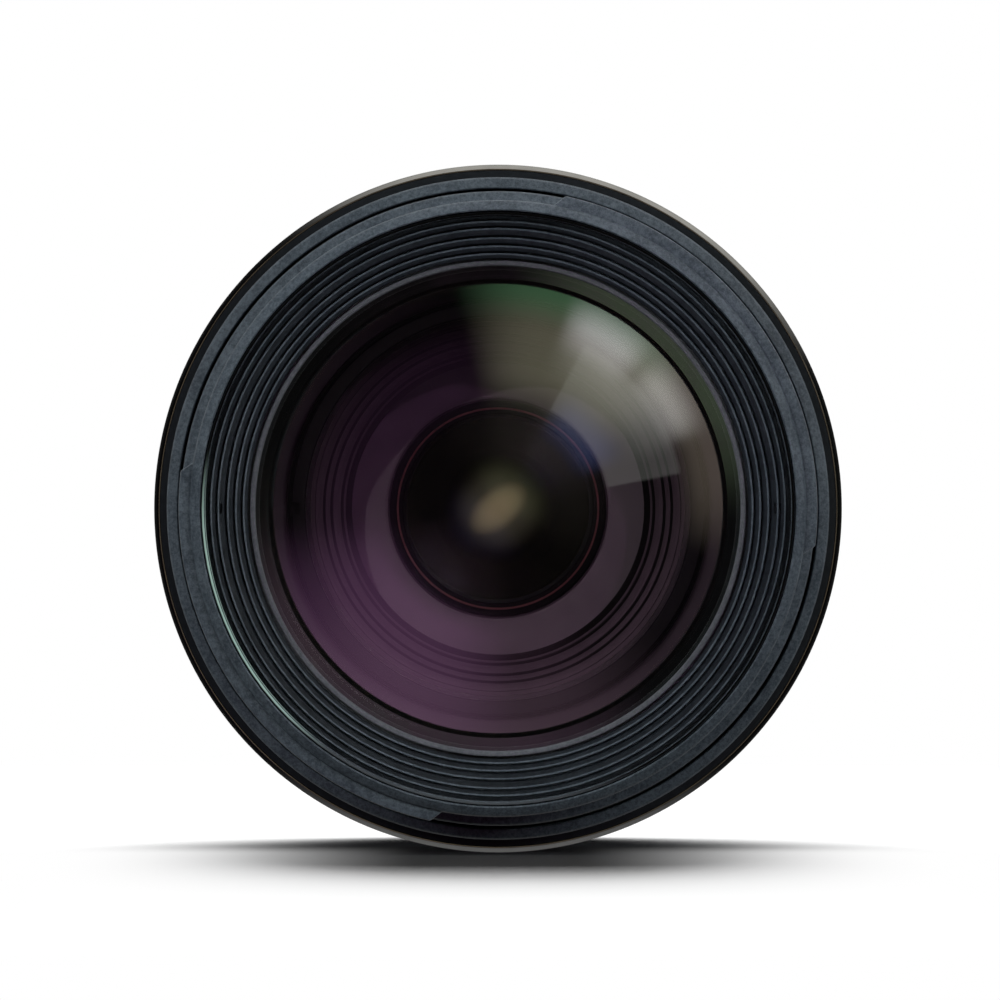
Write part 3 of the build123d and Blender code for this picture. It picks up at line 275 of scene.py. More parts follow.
METALS = {
    "mount_metal": ((206, 205, 201), 1.0, 0.18, 0.2, 1.0),
    "screw_steel": ((160, 160, 162), 1.0, 0.25),
    "gilt_contact": ((222, 184, 106), 1.0, 0.15),
    "roller_brass": ((205, 172, 104), 1.0, 0.2),
    "key_steel": ((170, 170, 172), 1.0, 0.3),
    "cam_metal": ((120, 121, 124), 1.0, 0.35),
    "motor_metal": ((140, 140, 143), 1.0, 0.3),
    "leaf_steel": ((30, 30, 32), 0.4, 0.45, 0.9),
    # The copper-coloured metal whose pink tint paints the glint of a bevel.
    "copper_glint_line": ((150, 92, 96), 0.8, 0.3),
    "hoop_metal": ((134.4, 134.4, 133.1), 1.0, 0.12, 0.3, 0.05),
    "seat_gloss": ((237.4, 237.4, 237.4), 1.0, 0.0, 0.5, 0.0),
    "cell_plastic": ((46, 35, 43), 0.0, 0.5, 0.5, 0.15, 0.2),
    "retaining_metal": ((15, 12, 15), 0.0, 0.4, 0.5, 0.15, 0.2),
    "cone_plum": ((60, 48, 56), 0.0, 0.5, 0.5, 0.1, 0.2),
    "ledge_plum": ((42, 34, 40), 0.0, 0.5, 0.5, 0.1, 0.2),
    "plate_satin": ((82, 71, 78), 0.0, 0.45, 0.5, 0.1, 0.3),
}
for finish_maker, table in ((moulded, PLASTICS), (rubbered, RUBBERS), (turned_metal, METALS)):
    for name, sizes in table.items():
        finish_maker(name, *sizes)
laminate("board_laminate", (14, 46, 30), (52, 104, 66))
print("finishes", len(FINISHES))


# %% [markdown]
# Coated glass shows almost nothing of itself: each surface lets nearly all light through and mirrors
# a few parts in a hundred, tinted by its coating. A Transparent shader mixed with a tinted Glossy one
# gives that without the noise of real refraction, and the rings behind the glass stay where they are
# measured. The rearmost glass passes little: its dark tint is painted shade, the dark of a closed
# camera.

# %% Coated glass
def coated(name, tint, head_on, edge_on, clear):
    """Glass whose coating mirrors head_on of the light from in front, rising to edge_on at a slant."""
    g = new_finish(name)
    slant = g.add("ShaderNodeLayerWeight", values={"Blend": 0.5}, out=1)
    share = slant ** 3.0 * (edge_on - head_on) + head_on
    through = g.add("ShaderNodeBsdfTransparent", values={"Color": clear})
    mirror = g.add("ShaderNodeBsdfAnisotropic", values={"Color": tint, "Roughness": 0.02})
    g.surface(g.add("ShaderNodeMixShader", values={0: share, 1: through, 2: mirror}))


coated("front_glass", (0.96, 1.0, 0.96, 1), 0.15, 0.3, (1.0, 1.0, 1.0, 1))
coated("inner_glass", (0.95, 0.86, 1.0, 1), 0.004, 0.02, (0.99, 0.99, 0.99, 1))
# The dark clear colour of the next two glasses is painted shade: it stands for the dark inside a closed
# camera behind the lens.
coated("deep_glass_painted_dark", (0.8, 0.75, 1.0, 1), 0.006, 0.04, (0.04, 0.04, 0.05, 1))
coated("rear_glass_painted_dark", (0.6, 0.8, 1.0, 1), 0.03, 0.12, (0.05, 0.05, 0.06, 1))
print("finishes with the glass", len(FINISHES))

# %% [markdown]
# The solids of the imported model keep their shapes, and each takes the finish that its record names.
# The glass behind the iris is the exception: it is tinted nearly black, painted shade that makes the
# lens look dark inside.

# %% Give each solid its finish
GLASS_BEHIND = {
    "focus_element": "deep_glass_painted_dark",
    "relay_element": "deep_glass_painted_dark",
    "rear_element": "rear_glass_painted_dark",
}
for part in frame["record"]["subparts"]:
    mesh = NODES[part["node"]].data
    mesh.materials.clear()
    mesh.materials.append(FINISHES[GLASS_BEHIND.get(part["node"], part["material_slot"])])


# %% [markdown]
# A Geometry Nodes tree is a recipe: it starts from a seed mesh and named sizes, and its result follows
# when a size is changed. These helpers start a tree, end it as the export needs, and run it on a seed.
# The result is kept as a plain mesh, and the object that carried the tree is thrown away.

# %% Start and end a tree
def start_tree(name, inputs):
    """A geometry tree with named inputs: its graph and its inputs."""
    tree = bpy.data.node_groups.new(name, "GeometryNodeTree")
    tree.interface.new_socket("Geometry", in_out="INPUT", socket_type="NodeSocketGeometry")
    for label, kind in inputs.items():
        tree.interface.new_socket(label, in_out="INPUT", socket_type="NodeSocket" + kind)
    tree.interface.new_socket("Geometry", in_out="OUTPUT", socket_type="NodeSocketGeometry")
    g = Graph(tree)
    entry = tree.nodes.new("NodeGroupInput")
    return g, {socket.name: Value(g, socket) for socket in entry.outputs if socket.name}


def end_tree(g, shape, material):
    """Ends a tree in Realize Instances and Set Material, as the export needs."""
    solid = g.add("GeometryNodeRealizeInstances", values={0: shape})
    dressed = g.add("GeometryNodeSetMaterial", values={"Geometry": solid, "Material": material})
    leave = g.tree.nodes.new("NodeGroupOutput")
    g.tree.links.new(dressed.socket, leave.inputs[0])
    return g.tree


# %% Stand, bake and grow
def stand(name, data):
    """An object of its own in the scene."""
    thing = bpy.data.objects.new(name, data)
    bpy.context.scene.collection.objects.link(thing)
    return thing


def baked(holder):
    """The object's shape after its modifiers, as a plain mesh."""
    depsgraph = bpy.context.evaluated_depsgraph_get()
    mesh = bpy.data.meshes.new_from_object(holder.evaluated_get(depsgraph))
    bpy.data.objects.remove(holder)
    return mesh


def grow(tree, seed, **inputs):
    """Runs a tree on a seed mesh and returns the result as a plain mesh."""
    holder = stand("holder", seed)
    modifier = holder.modifiers.new("shape", "NODES")
    modifier.node_group = tree
    for socket in tree.interface.items_tree:
        if socket.in_out == "INPUT" and socket.name in inputs:
            modifier[socket.identifier] = inputs[socket.name]
    return baked(holder)


# %% [markdown]
# Nearly every part of a lens is made on a lathe: an outline is turned about the optical axis. The
# geometry tree below does the same. It takes an outline, drawn as radius against distance forward,
# rounds its corners with Fillet Curve, and sweeps it round a circle. One tree serves for the rings
# and for the glass, and changing an outline changes the part, as on the real machine.

# %% Lathe
SPINDLE = 1.0 * MM
WELD = 0.001 * MM


def lathe_tree():
    """Turns an outline about the optical axis; the outline lies in the plane of radius and distance."""
    g, port = start_tree("lathe", {"Segments": "Int", "Corner_Steps": "Int", "Material": "Material"})
    outline = g.add("GeometryNodeMeshToCurve", values={0: port["Geometry"]})
    corner = g.add("GeometryNodeInputNamedAttribute", {"data_type": "FLOAT"}, {"Name": "corner"})
    rounded = g.add("GeometryNodeFilletCurve", {"mode": "POLY"}, {
        "Curve": outline, "Count": port["Corner_Steps"], "Radius": corner, "Limit Radius": True})
    profile = g.add("GeometryNodeTransform", values={0: rounded, "Translation": (-SPINDLE, 0, 0)})
    circle = g.add("GeometryNodeCurvePrimitiveCircle", {"mode": "RADIUS"}, {
        "Resolution": port["Segments"], "Radius": SPINDLE})
    swept = g.add("GeometryNodeCurveToMesh", values={"Curve": circle, "Profile Curve": profile})
    turned = g.add("GeometryNodeTransform", values={0: swept, "Rotation": (math.pi / 2, 0, 0)})
    welded = g.add("GeometryNodeMergeByDistance", values={"Geometry": turned, "Distance": WELD})
    return end_tree(g, welded, port["Material"])


LATHE = lathe_tree()
print("lathe", len(LATHE.nodes), "nodes")

# %% Outlines and turned rings
def outline_mesh(points, corner):
    """A closed outline from (radius, forward) or (radius, forward, corner), in millimetres."""
    mesh = bpy.data.meshes.new("outline")
    count = len(points)
    edges = [(i, (i + 1) % count) for i in range(count)]
    mesh.from_pydata([(p[0] * MM, -p[1] * MM, 0) for p in points], edges, [])
    sizes = mesh.attributes.new("corner", "FLOAT", "POINT")
    for i, point in enumerate(points):
        sizes.data[i].value = (point[2] if len(point) > 2 else corner) * MM
    return mesh


def turned(points, finish, corner=0.0, segments=192, steps=3):
    """A ring or disc turned from an outline."""
    return grow(LATHE, outline_mesh(points, corner), Segments=segments, Corner_Steps=steps,
                Material=FINISHES[finish])


# %% [markdown]
# Each finished mesh is cleaned in the same way: doubles are merged, faces are turned outwards, and
# edges sharper than a set angle are marked, so that flats stay flat and rounds look round. Then the
# piece rides on its body and hides the solid that it stands for.

# %% Hand a piece over
SHARP = math.radians(38)


def clean(mesh):
    """Merges doubles, turns the faces outwards and marks the sharp edges."""
    work = bmesh.new()
    work.from_mesh(mesh)
    bmesh.ops.remove_doubles(work, verts=work.verts, dist=WELD)
    bmesh.ops.dissolve_degenerate(work, edges=work.edges, dist=WELD)
    loose = [edge for edge in work.edges if not edge.link_faces]
    bmesh.ops.delete(work, geom=loose, context="EDGES")
    bmesh.ops.recalc_face_normals(work, faces=work.faces)
    for face in work.faces:
        face.smooth = True
    for edge in work.edges:
        edge.smooth = edge.is_manifold and edge.calc_face_angle(0.0) < SHARP
    work.to_mesh(mesh)
    work.free()
    return mesh


def hand_over(mesh, name, body, slot, *nodes):
    """Makes a mesh a piece of its own, which rides on a body and replaces its solids."""
    piece = stand(name, clean(mesh))
    mesh.name = name
    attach(piece, body)
    if nodes:
        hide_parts(*nodes)
    print(name, len(mesh.polygons), "faces")
    return piece


def ring_piece(name, body, slot, nodes, points, finish=None, corner=0.0, segments=192):
    """A turned piece, handed over."""
    return hand_over(turned(points, finish or slot, corner, segments), name, body, slot, *nodes)


# %% Measure a solid
def reach(node):
    """A solid's smallest and largest radius and its back and front, in millimetres."""
    points = [v.co for v in NODES[node].data.vertices]
    radii = [math.hypot(p.x, p.z) / MM for p in points]
    places = [-p.y / MM for p in points]
    return min(radii), max(radii), min(places), max(places)


for node in ("filter_ring", "zoom_ring", "zoom_grip", "front_element"):
    print(node, [round(v, 2) for v in reach(node)])


# %% [markdown]
# Screws, ribs, contacts and lugs stand at even steps round the axis. One tree makes them all: it puts
# as many points as are wanted on the axis and gives each a copy of the seed, turned a step further.
# The seed is modelled once, in its real place at the right of the lens.

# %% Tree for what repeats round the axis
def pattern_tree():
    g, port = start_tree("round_the_axis", {
        "Count": "Int", "Start": "Float", "Step": "Float", "Material": "Material"})
    places = g.add("GeometryNodeMeshLine", {"mode": "OFFSET"}, {
        "Count": port["Count"], "Offset": (0, 0, 0)})
    number = g.add("GeometryNodeInputIndex")
    turn = (number * port["Step"] + port["Start"]) * -1.0
    way = g.add("ShaderNodeCombineXYZ", values={1: turn})
    copies = g.add("GeometryNodeInstanceOnPoints", values={
        "Points": places, "Instance": port["Geometry"], "Rotation": way})
    return end_tree(g, copies, port["Material"])


PATTERN = pattern_tree()
print("pattern", len(PATTERN.nodes), "nodes")


def repeated(seed, count, start, step, finish):
    """Copies of a seed mesh round the axis, with angles in degrees."""
    return grow(PATTERN, seed, Count=count, Start=math.radians(start), Step=math.radians(step),
                Material=FINISHES[finish])


# %% [markdown]
# A bar or block with rounded edges is drawn in bmesh: a box whose corners are bevelled, bent to lie
# between two radii. It serves for the ribs of the grips, the hood lugs and the marks on the rings.

# %% Rounded corners
CORNER = math.radians(50)


def bevelled(work, round_edge):
    """Rounds the corners of a body in bmesh and makes it a mesh."""
    bmesh.ops.recalc_face_normals(work, faces=work.faces)
    corners = [e for e in work.edges if e.calc_face_angle(0.0) > CORNER]
    if round_edge:
        bmesh.ops.bevel(work, geom=corners, offset=round_edge * MM, segments=2, profile=0.5,
                        affect="EDGES", clamp_overlap=True)
    mesh = bpy.data.meshes.new("block")
    work.to_mesh(mesh)
    work.free()
    return mesh


# %% Bend a block round the axis
def arc_block(inner, outer, back, front, start, span, round_edge, pieces=1, slant=0.0):
    """A block between two radii, two places and two angles, with rounded edges and slanted ends."""
    work = bmesh.new()
    rows = []
    for i in range(pieces + 1):
        row = []
        for radius, place in ((inner, back), (outer, back), (outer, front), (inner, front)):
            lean = slant * (radius - inner) / (outer - inner) * (1 - 2 * i / pieces)
            angle = math.radians(start + span * i / pieces + lean)
            row.append(work.verts.new((
                radius * math.cos(angle) * MM, -place * MM, radius * math.sin(angle) * MM)))
        rows.append(row)
    for first, second in zip(rows, rows[1:]):
        for k in range(4):
            work.faces.new((first[k], first[(k + 1) % 4], second[(k + 1) % 4], second[k]))
    work.faces.new(rows[0])
    work.faces.new(rows[-1])
    return bevelled(work, round_edge)


# %% [markdown]
# Flat-sided details, such as the switch, the spanner notches and the cross in a screw, are milled or
# moulded rather than turned. A bevelled slab draws them, and a Boolean cut mills them out of a piece,
# in the order in which a workshop would do it: turn first, then drill and mill.

# %% Slabs and cuts
def slab(low, high, round_edge=0.0):
    """A box from (right, forward, up) to (right, forward, up) with rounded edges."""
    work = bmesh.new()
    corners = [work.verts.new((x * MM, -s * MM, z * MM))
               for x in (low[0], high[0]) for s in (low[1], high[1]) for z in (low[2], high[2])]
    for face in ((0, 1, 3, 2), (4, 6, 7, 5), (0, 4, 5, 1), (2, 3, 7, 6), (0, 2, 6, 4), (1, 5, 7, 3)):
        work.faces.new([corners[i] for i in face])
    return bevelled(work, round_edge)


def carved(mesh, *cutters):
    """The mesh with each cutter's shape cut out of it."""
    body = stand("blank", clean(mesh))
    tools = [stand("cutter", clean(cutter)) for cutter in cutters]
    for tool in tools:
        cut = body.modifiers.new("cut", "BOOLEAN")
        cut.operation, cut.solver, cut.object = "DIFFERENCE", "EXACT", tool
    result = baked(body)
    for tool in tools:
        bpy.data.objects.remove(tool)
    return result


# %% Joins and moves
def joined(finish, *meshes):
    """Several meshes as one, in one finish."""
    work = bmesh.new()
    for mesh in meshes:
        work.from_mesh(mesh)
    for face in work.faces:
        face.material_index = 0
    result = bpy.data.meshes.new("joined")
    work.to_mesh(result)
    work.free()
    result.materials.append(FINISHES[finish])
    return result


def moved(mesh, right=0.0, forward=0.0, up=0.0):
    """The mesh, shifted by millimetres."""
    mesh.transform(Matrix.Translation((right * MM, -forward * MM, up * MM)))
    return mesh


# %% [markdown]
# The filter ring is the outermost ring that faces the viewer. It has a sloping rim, a bore that takes
# the thread for a 67 mm filter, and a shoulder behind the rim. All of it is turned from one outline,
# and the lugs and the thread are pieces of their own on it.

# %% Filter ring
RIM = reach("filter_ring")[3]
THREAD_RADIUS = 33.5
RIM_RADIUS = 34.7
SHOULDER_RADIUS = 35.8
SHOULDER_FRONT = 87.0
SKIRT_FRONT = 82.0
SKIRT_BACK = reach("filter_ring")[2]
SKIRT_INSIDE, SKIRT_OUTSIDE = 33.35, 34.55
BAFFLE_BORE, BAFFLE_SEAT = 33.05, 81.2
THREAD_BACK = RIM - 4.0
RIM_SLOPE = 0.7

ring_piece("filter_ring_turned", "front_group", "slate_body", ["filter_ring"], [
    (THREAD_RADIUS, RIM - 0.15, 0.08), (THREAD_RADIUS + 0.15, RIM, 0.1),
    (RIM_RADIUS - 0.15, RIM - RIM_SLOPE, 0.12), (RIM_RADIUS, RIM - RIM_SLOPE - 0.25, 0.2),
    (RIM_RADIUS, SHOULDER_FRONT, 0.05), (SHOULDER_RADIUS - 0.2, SHOULDER_FRONT - 0.25, 0.2),
    (SHOULDER_RADIUS, SHOULDER_FRONT - 0.5, 0.2), (SHOULDER_RADIUS, SKIRT_FRONT, 0.05),
    (SKIRT_OUTSIDE, SKIRT_FRONT), (SKIRT_OUTSIDE, SKIRT_BACK), (SKIRT_INSIDE, SKIRT_BACK),
    (SKIRT_INSIDE, BAFFLE_SEAT), (BAFFLE_BORE, BAFFLE_SEAT), (BAFFLE_BORE, THREAD_BACK, 0.05),
    (THREAD_RADIUS, THREAD_BACK, 0.05),
], corner=0.1)

# %% [markdown]
# Two lugs on the outer wall of the rim hold a hood that is pushed on and turned. Each spans a quarter
# of the rim, and its ends slant. A bent block is drawn once, and the pattern tree repeats it.

# %% Hood lugs
LUG_BACK, LUG_FRONT = 89.2, 91.0
LUG_RADIUS = 35.95
LUG_SPAN = 89.0
LUG_START = -9.0
lug = arc_block(RIM_RADIUS - 0.3, LUG_RADIUS, LUG_BACK, LUG_FRONT, 0, LUG_SPAN, 0.18, 48, 2.2)
hand_over(repeated(lug, 2, LUG_START, 180, "slate_body"), "hood_lugs", "front_group", "slate_body")


# %% [markdown]
# The thread is a ridge that climbs 0.75 mm each turn. A spiral curve carries its section, and the
# ridge fades out at both ends, where the cutter ran in and out. Spiral, Set Curve Radius and Curve to
# Mesh do this in one short tree, and a helix catches the light as a real thread does.

# %% Thread tree
def thread_tree():
    g, port = start_tree("thread", {
        "Segments": "Int", "Turns": "Float", "Radius": "Float", "Length": "Float", "Fade": "Float",
        "Back": "Float", "Material": "Material"})
    spiral = g.add("GeometryNodeCurveSpiral", values={
        "Resolution": port["Segments"], "Rotations": port["Turns"], "Start Radius": port["Radius"],
        "End Radius": port["Radius"], "Height": port["Length"]})
    upright = g.add("GeometryNodeSetCurveNormal", {"mode": "Z_UP"}, {"Curve": spiral})
    along = g.add("GeometryNodeSplineParameter")
    height = (along * port["Fade"]).math("MINIMUM", (1.0 - along) * port["Fade"]).math("MINIMUM", 1.0)
    tapered = g.add("GeometryNodeSetCurveRadius", values={"Curve": upright, "Radius": height})
    section = g.add("GeometryNodeMeshToCurve", values={0: port["Geometry"]})
    ridge = g.add("GeometryNodeCurveToMesh", values={
        "Curve": tapered, "Profile Curve": section, "Fill Caps": True})
    shift = g.add("ShaderNodeCombineXYZ", values={1: port["Back"] * -1.0})
    laid = g.add("GeometryNodeTransform", values={
        0: ridge, "Translation": shift, "Rotation": (math.pi / 2, 0, 0)})
    return end_tree(g, laid, port["Material"])


# %% Filter thread
THREAD_PITCH = 0.75
THREAD_TURNS = 4.5
THREAD_DEPTH = 0.42
thread_section = outline_mesh([
    (0.12, -0.34), (0.12, 0.34), (-THREAD_DEPTH, 0.07), (-THREAD_DEPTH, -0.07)], 0)
thread = grow(thread_tree(), thread_section, Segments=96, Turns=THREAD_TURNS, Radius=THREAD_RADIUS * MM,
              Length=THREAD_TURNS * THREAD_PITCH * MM, Fade=14.0, Back=(THREAD_BACK + 0.15) * MM,
              Material=FINISHES["ridge_black"])
hand_over(thread, "filter_thread", "front_group", "slate_body")

# %% [markdown]
# Inside the thread a stepped ring holds the front glass. Its lip and five ridges keep light from
# bouncing off the barrel into the glass, and each stands a little further forward than the one
# inside it. Narrow dark grooves part them. A thin ring of paler grey on each crest is a painted
# highlight. The radii of the crests are measured from the photograph, and a loop writes the outline
# from them.

# %% Baffle ring
RIDGE_EDGES = (28.87, 29.72, 30.62, 31.66, 32.46)
RIDGE_RISE = 0.97
GROOVE_WIDTH = 0.26
GROOVE_DEPTH = 0.95
CREST_WIDTH = 0.2
CREST_FIRST = 83.03
BAFFLE_BACK = 81.53
BAFFLE_OUTER = 33.0
BAFFLE_INNER = 27.42
LIP_CREST, LIP_OUTER = 28.07, 28.3

ridges, crest_highlights = [], []
before = LIP_CREST
for i, edge in enumerate(RIDGE_EDGES):
    crest = CREST_FIRST + RIDGE_RISE * (i + 1)
    inner = before + GROOVE_WIDTH
    ridges += [
        (inner - 0.04, crest - RIDGE_RISE - GROOVE_DEPTH, 0.04), (inner, crest - 0.24, 0.08),
        (edge, crest, 0.06), (edge + 0.02, crest - GROOVE_DEPTH, 0.04),
    ]
    # A thin ring of paler grey on each crest: a painted highlight.
    crest_highlights.append(turned([
        (edge - CREST_WIDTH, crest - 0.2), (edge - CREST_WIDTH, crest - 0.05),
        (edge - 0.04, crest + 0.02, 0.04), (edge + 0.01, crest - 0.04), (edge + 0.01, crest - 0.2),
    ], "crest_painted_highlight"))
    before = edge
baffle = turned([
    (BAFFLE_OUTER, BAFFLE_BACK), (LIP_OUTER, BAFFLE_BACK), (LIP_OUTER, CREST_FIRST - GROOVE_DEPTH),
    *ridges, (BAFFLE_OUTER, CREST_FIRST + RIDGE_RISE * len(RIDGE_EDGES) - GROOVE_DEPTH, 0.05),
], "ridge_black", 0.05)
notch = slab((31.1, 85.9, -0.6), (32.1, 87.4, 0.6))
baffle = carved(baffle, repeated(notch, 2, 0, 180, "ridge_black"))
hand_over(baffle, "baffle_ring_turned", "front_group", "black_plastic", "baffle_ring")
hand_over(joined("crest_painted_highlight", *crest_highlights), "baffle_crests", "front_group", "black_plastic")

# %% Lip of the baffle and stop of the thread
# The lip is turned in a paler grey than the ridges: a painted highlight on its edge.
ring_piece("baffle_lip", "front_group", "black_plastic", [], [
    (28.2, 81.9), (BAFFLE_INNER + 0.1, 82.28, 0.02), (BAFFLE_INNER, CREST_FIRST - 0.3, 0.05),
    (BAFFLE_INNER + 0.12, CREST_FIRST, 0.1), (LIP_CREST - 0.02, CREST_FIRST - 0.02, 0.1),
    (LIP_CREST, CREST_FIRST - GROOVE_DEPTH, 0.04), (LIP_OUTER, CREST_FIRST - GROOVE_DEPTH, 0.0),
    (LIP_OUTER, 81.9),
], "lip_painted_highlight", 0.02)
ring_piece("thread_stop", "front_group", "slate_body", [], [
    (33.0, 87.75), (33.0, 87.9), (33.4, 88.16), (33.4, 87.75),
], "seat_gloss", segments=256)


# %% [markdown]
# A lens element is two spheres and an edge. Each outline below is worked out from the radii of its
# two surfaces, so that the reflections fall where those curves put them. A flatter front surface
# shows a lamp large and far out, and a steep inner surface shows the same lamp small, near the axis.

# %% Outline of an element
def sag(curve, radius):
    """How far a ground surface falls back at a radius; a negative curve bulges to the rear."""
    depth = abs(curve) - math.sqrt(curve * curve - radius * radius)
    return depth if curve > 0 else -depth


ARC_STEPS = 28


def element_outline(front, front_curve, front_clear, back, back_curve, back_clear, edge):
    """Half of an element, from the places of its two vertices on the axis."""
    def surface(place, curve, clear):
        return [(clear * i / ARC_STEPS, place - sag(curve, clear * i / ARC_STEPS), 0)
                for i in range(ARC_STEPS + 1)]

    face = surface(front, front_curve, front_clear)
    rear = surface(back, back_curve, back_clear)
    bevel = 0.3
    return (face + [(edge, face[-1][1] - bevel, 0.1), (edge, rear[-1][1] + 0.02, 0.1)] + rear[::-1])


# %% The four elements in view
def glass_piece(name, body, slot, node, *sizes):
    """An element whose rear surface carries the inner coating."""
    piece = hand_over(turned(element_outline(*sizes), slot, 0.0, 160), name, body, slot, node)
    piece.data.materials.append(FINISHES["inner_glass"])
    for face in piece.data.polygons:
        face.material_index = 1 if face.normal.y > 0.0 else 0
    return piece


glass_piece("front_glass", "front_group", "front_glass", "front_element",
            87.6, 72, 27.4, 85.1, 34, 25.2, 28.45)
glass_piece("second_glass", "front_group", "inner_glass", "second_element",
            77.6, 40, 21.8, 75.8, 26, 21.4, 23.95)
third_back, third_front = reach("third_element")[2:]
glass_piece("third_glass", "front_group", "inner_glass", "third_element",
            third_front, 45, 16.9, third_back, -60, 16.9, 18.15)
doublet_back, doublet_front = reach("doublet_front")[2:]
glass_piece("doublet_glass", "variator", "inner_glass", "doublet_front",
            doublet_front, 30, 10.9, doublet_back, -30, 10.9, 12.0)
print("doublet from", round(doublet_back, 2), "to", round(doublet_front, 2))

# %% [markdown]
# Behind the front glass lies the front cell, a deep funnel that narrows in fine steps. The steps catch
# stray light in shallow traps, and they show through the glass as thin rings, plum and dark in turn.
# Two sets of thin rings that follow the slope of the funnel give them, each set in its own finish: the
# plum set is the paint of the cell, and the near-black set, sunk a little, is painted shade in the
# traps.

# %% Front cell
CONE_BACK, CONE_FRONT = 57.3, 64.3
CONE_INNER, CONE_OUTER = 16.8, 21.4
CONE_RISE = (CONE_FRONT - CONE_BACK) / (CONE_OUTER - CONE_INNER)
CONE_LIGHT = ((17.5, 17.74), (18.08, 18.93), (19.26, 19.78), (20.08, 20.9), (20.98, CONE_OUTER))
# Bands of painted shade, where the traps between the steps lie.
CONE_PAINTED_SHADE = ((CONE_INNER, 17.5), (17.74, 18.08), (18.93, 19.26), (19.78, 20.08), (20.9, 20.98))

ring_piece("front_cell_turned", "front_group", "cell_plastic", ["front_cell"], [
    (18.25, 52.97), (18.25, 57.12), (17.2, 57.12), (17.2, 57.28), (21.45, 57.28), (21.45, 64.57, 0.05),
    (24.05, 64.57), (24.05, 71.9, 0.05), (24.2, 72.1, 0.1), (25.5, 73.3, 0.1), (25.6, 73.3, 0.05),
    (25.6, 72.1), (28.52, 72.1, 0.02), (28.52, 81.5), (31.5, 81.5), (31.5, 72.0), (34.4, 72.0),
    (34.4, 69.5), (26.5, 69.5), (26.5, 62.1), (21.9, 61.1), (21.9, 52.97),
], "ledge_plum")


# %% Rings of the cone
def cone_rings(bands, rise, finish):
    """Rings of one finish, which follow the slope of the cone."""
    rings = []
    for inner, outer in bands:
        low, high = [CONE_BACK + CONE_RISE * (radius - CONE_INNER) for radius in (inner, outer)]
        rings.append(turned([
            (inner, low - 0.5), (inner, low + rise), (outer, high + rise), (outer, low - 0.5),
        ], finish))
    return joined(finish, *rings)


hand_over(cone_rings(CONE_LIGHT, 0.1, "cone_plum"), "cone_steps", "front_group", "cell_plastic")
# The near-black rings are painted shade in the traps between the steps.
hand_over(cone_rings(CONE_PAINTED_SHADE, -0.1, "seat_black"), "cone_painted_shade", "front_group", "cell_plastic")
# A thin black ring on the outer edge of the ledge is painted shade, where the wall of the cell shadows
# it.
ring_piece("ledge_painted_shade_ring", "front_group", "cell_plastic", [], [
    (23.7, 64.5), (23.7, 64.66), (24.04, 64.66), (24.04, 64.5),
], "seat_black")

# %% [markdown]
# The polished seat of the front glass slopes a little inwards, so it mirrors what lies on the opposite
# side of the studio as a thin coloured crescent close to the rim of the glass.

# %% Glass seat
SEAT_FALL = 1.31
ring_piece("glass_seat", "front_group", "cell_plastic", [], [
    (25.68, 72.15), (25.68, 73.9 - SEAT_FALL), (28.5, 73.9), (28.5, 72.15),
], "seat_gloss", segments=256)

# %% [markdown]
# Each glass is held by a threaded ring, blackened after cutting and driven home by a spanner in two
# notches. Between the ring and its cell stays a narrow gap, dark with a ring of painted shade on the
# ledge behind it. On the ring of the doublet a thin line of copper-coloured metal lies on the bevel of
# its edge: its reflection of the studio is real, and its pink tint is a painted glint of the bevel.

# %% Retaining rings
second_ring = turned([
    (21.9, 71.14), (21.9, 72.9, 0.1), (22.1, 73.14, 0.1), (23.45, 73.14, 0.12), (23.6, 72.9, 0.08),
    (23.62, 72.2, 0.04), (24.0, 72.2, 0.04), (24.0, 71.14),
], "retaining_metal")
notch = slab((22.6, 72.4, -0.7), (24.4, 73.6, 0.7))
second_ring = carved(second_ring, repeated(notch, 2, 0, 180, "retaining_metal"))
hand_over(second_ring, "second_ring_turned", "front_group", "retaining_metal",
          "second_retaining_ring")

# %% Ring of the doublet
ring_piece("doublet_ring_turned", "variator", "retaining_metal", ["doublet_retaining_ring"], [
    (10.9, 49.62), (10.9, 50.75, 0.08), (11.05, 51.0, 0.08), (11.45, 51.0, 0.04), (11.45, 50.8, 0.02),
    (11.7, 50.8, 0.02), (11.7, 50.95, 0.04), (12.3, 50.6, 0.1), (12.48, 50.2, 0.05), (12.48, 49.62),
], "seat_black")
# A copper-coloured metal line on the bevel: a real reflection, with a pink tint that paints its glint.
ring_piece("copper_glint_ring", "variator", "retaining_metal", [], [
    (11.46, 50.82), (11.46, 50.93, 0.04), (11.58, 50.98, 0.05), (11.69, 50.93, 0.04), (11.69, 50.82),
], "copper_glint_line")

# %% [markdown]
# The plate of the variator closes the view between the funnel and the doublet. It is painted satin
# plum, so it shows as a smooth broad ring. A thin turned washer stands for the painted face, and it
# slides with the variator when the lens is zoomed.

# %% Variator face
ring_piece("variator_face", "variator", "cell_plastic", [], [
    (12.75, 50.58), (12.75, 50.68, 0.05), (13.0, 50.78, 0.08), (17.6, 50.78, 0.05), (17.6, 50.58),
], "plate_satin")


# %% [markdown]
# The outer barrel is a stack of turned rings. The zoom ring carries a band for its scale, a sunk seat
# for the rubber, and a shoulder in front that slopes away from the rim. The fixed collar behind it
# holds the index line. The narrow focus ring follows, and the rear barrel tapers to the mount.

# %% Zoom ring and seal
RING_BORE, GRIP_SEAT, BAND = 36.2, 36.9, 37.5
ZOOM_GRIP, FOCUS_GRIP = (49.9, 79.2), (24.5, 34.1)

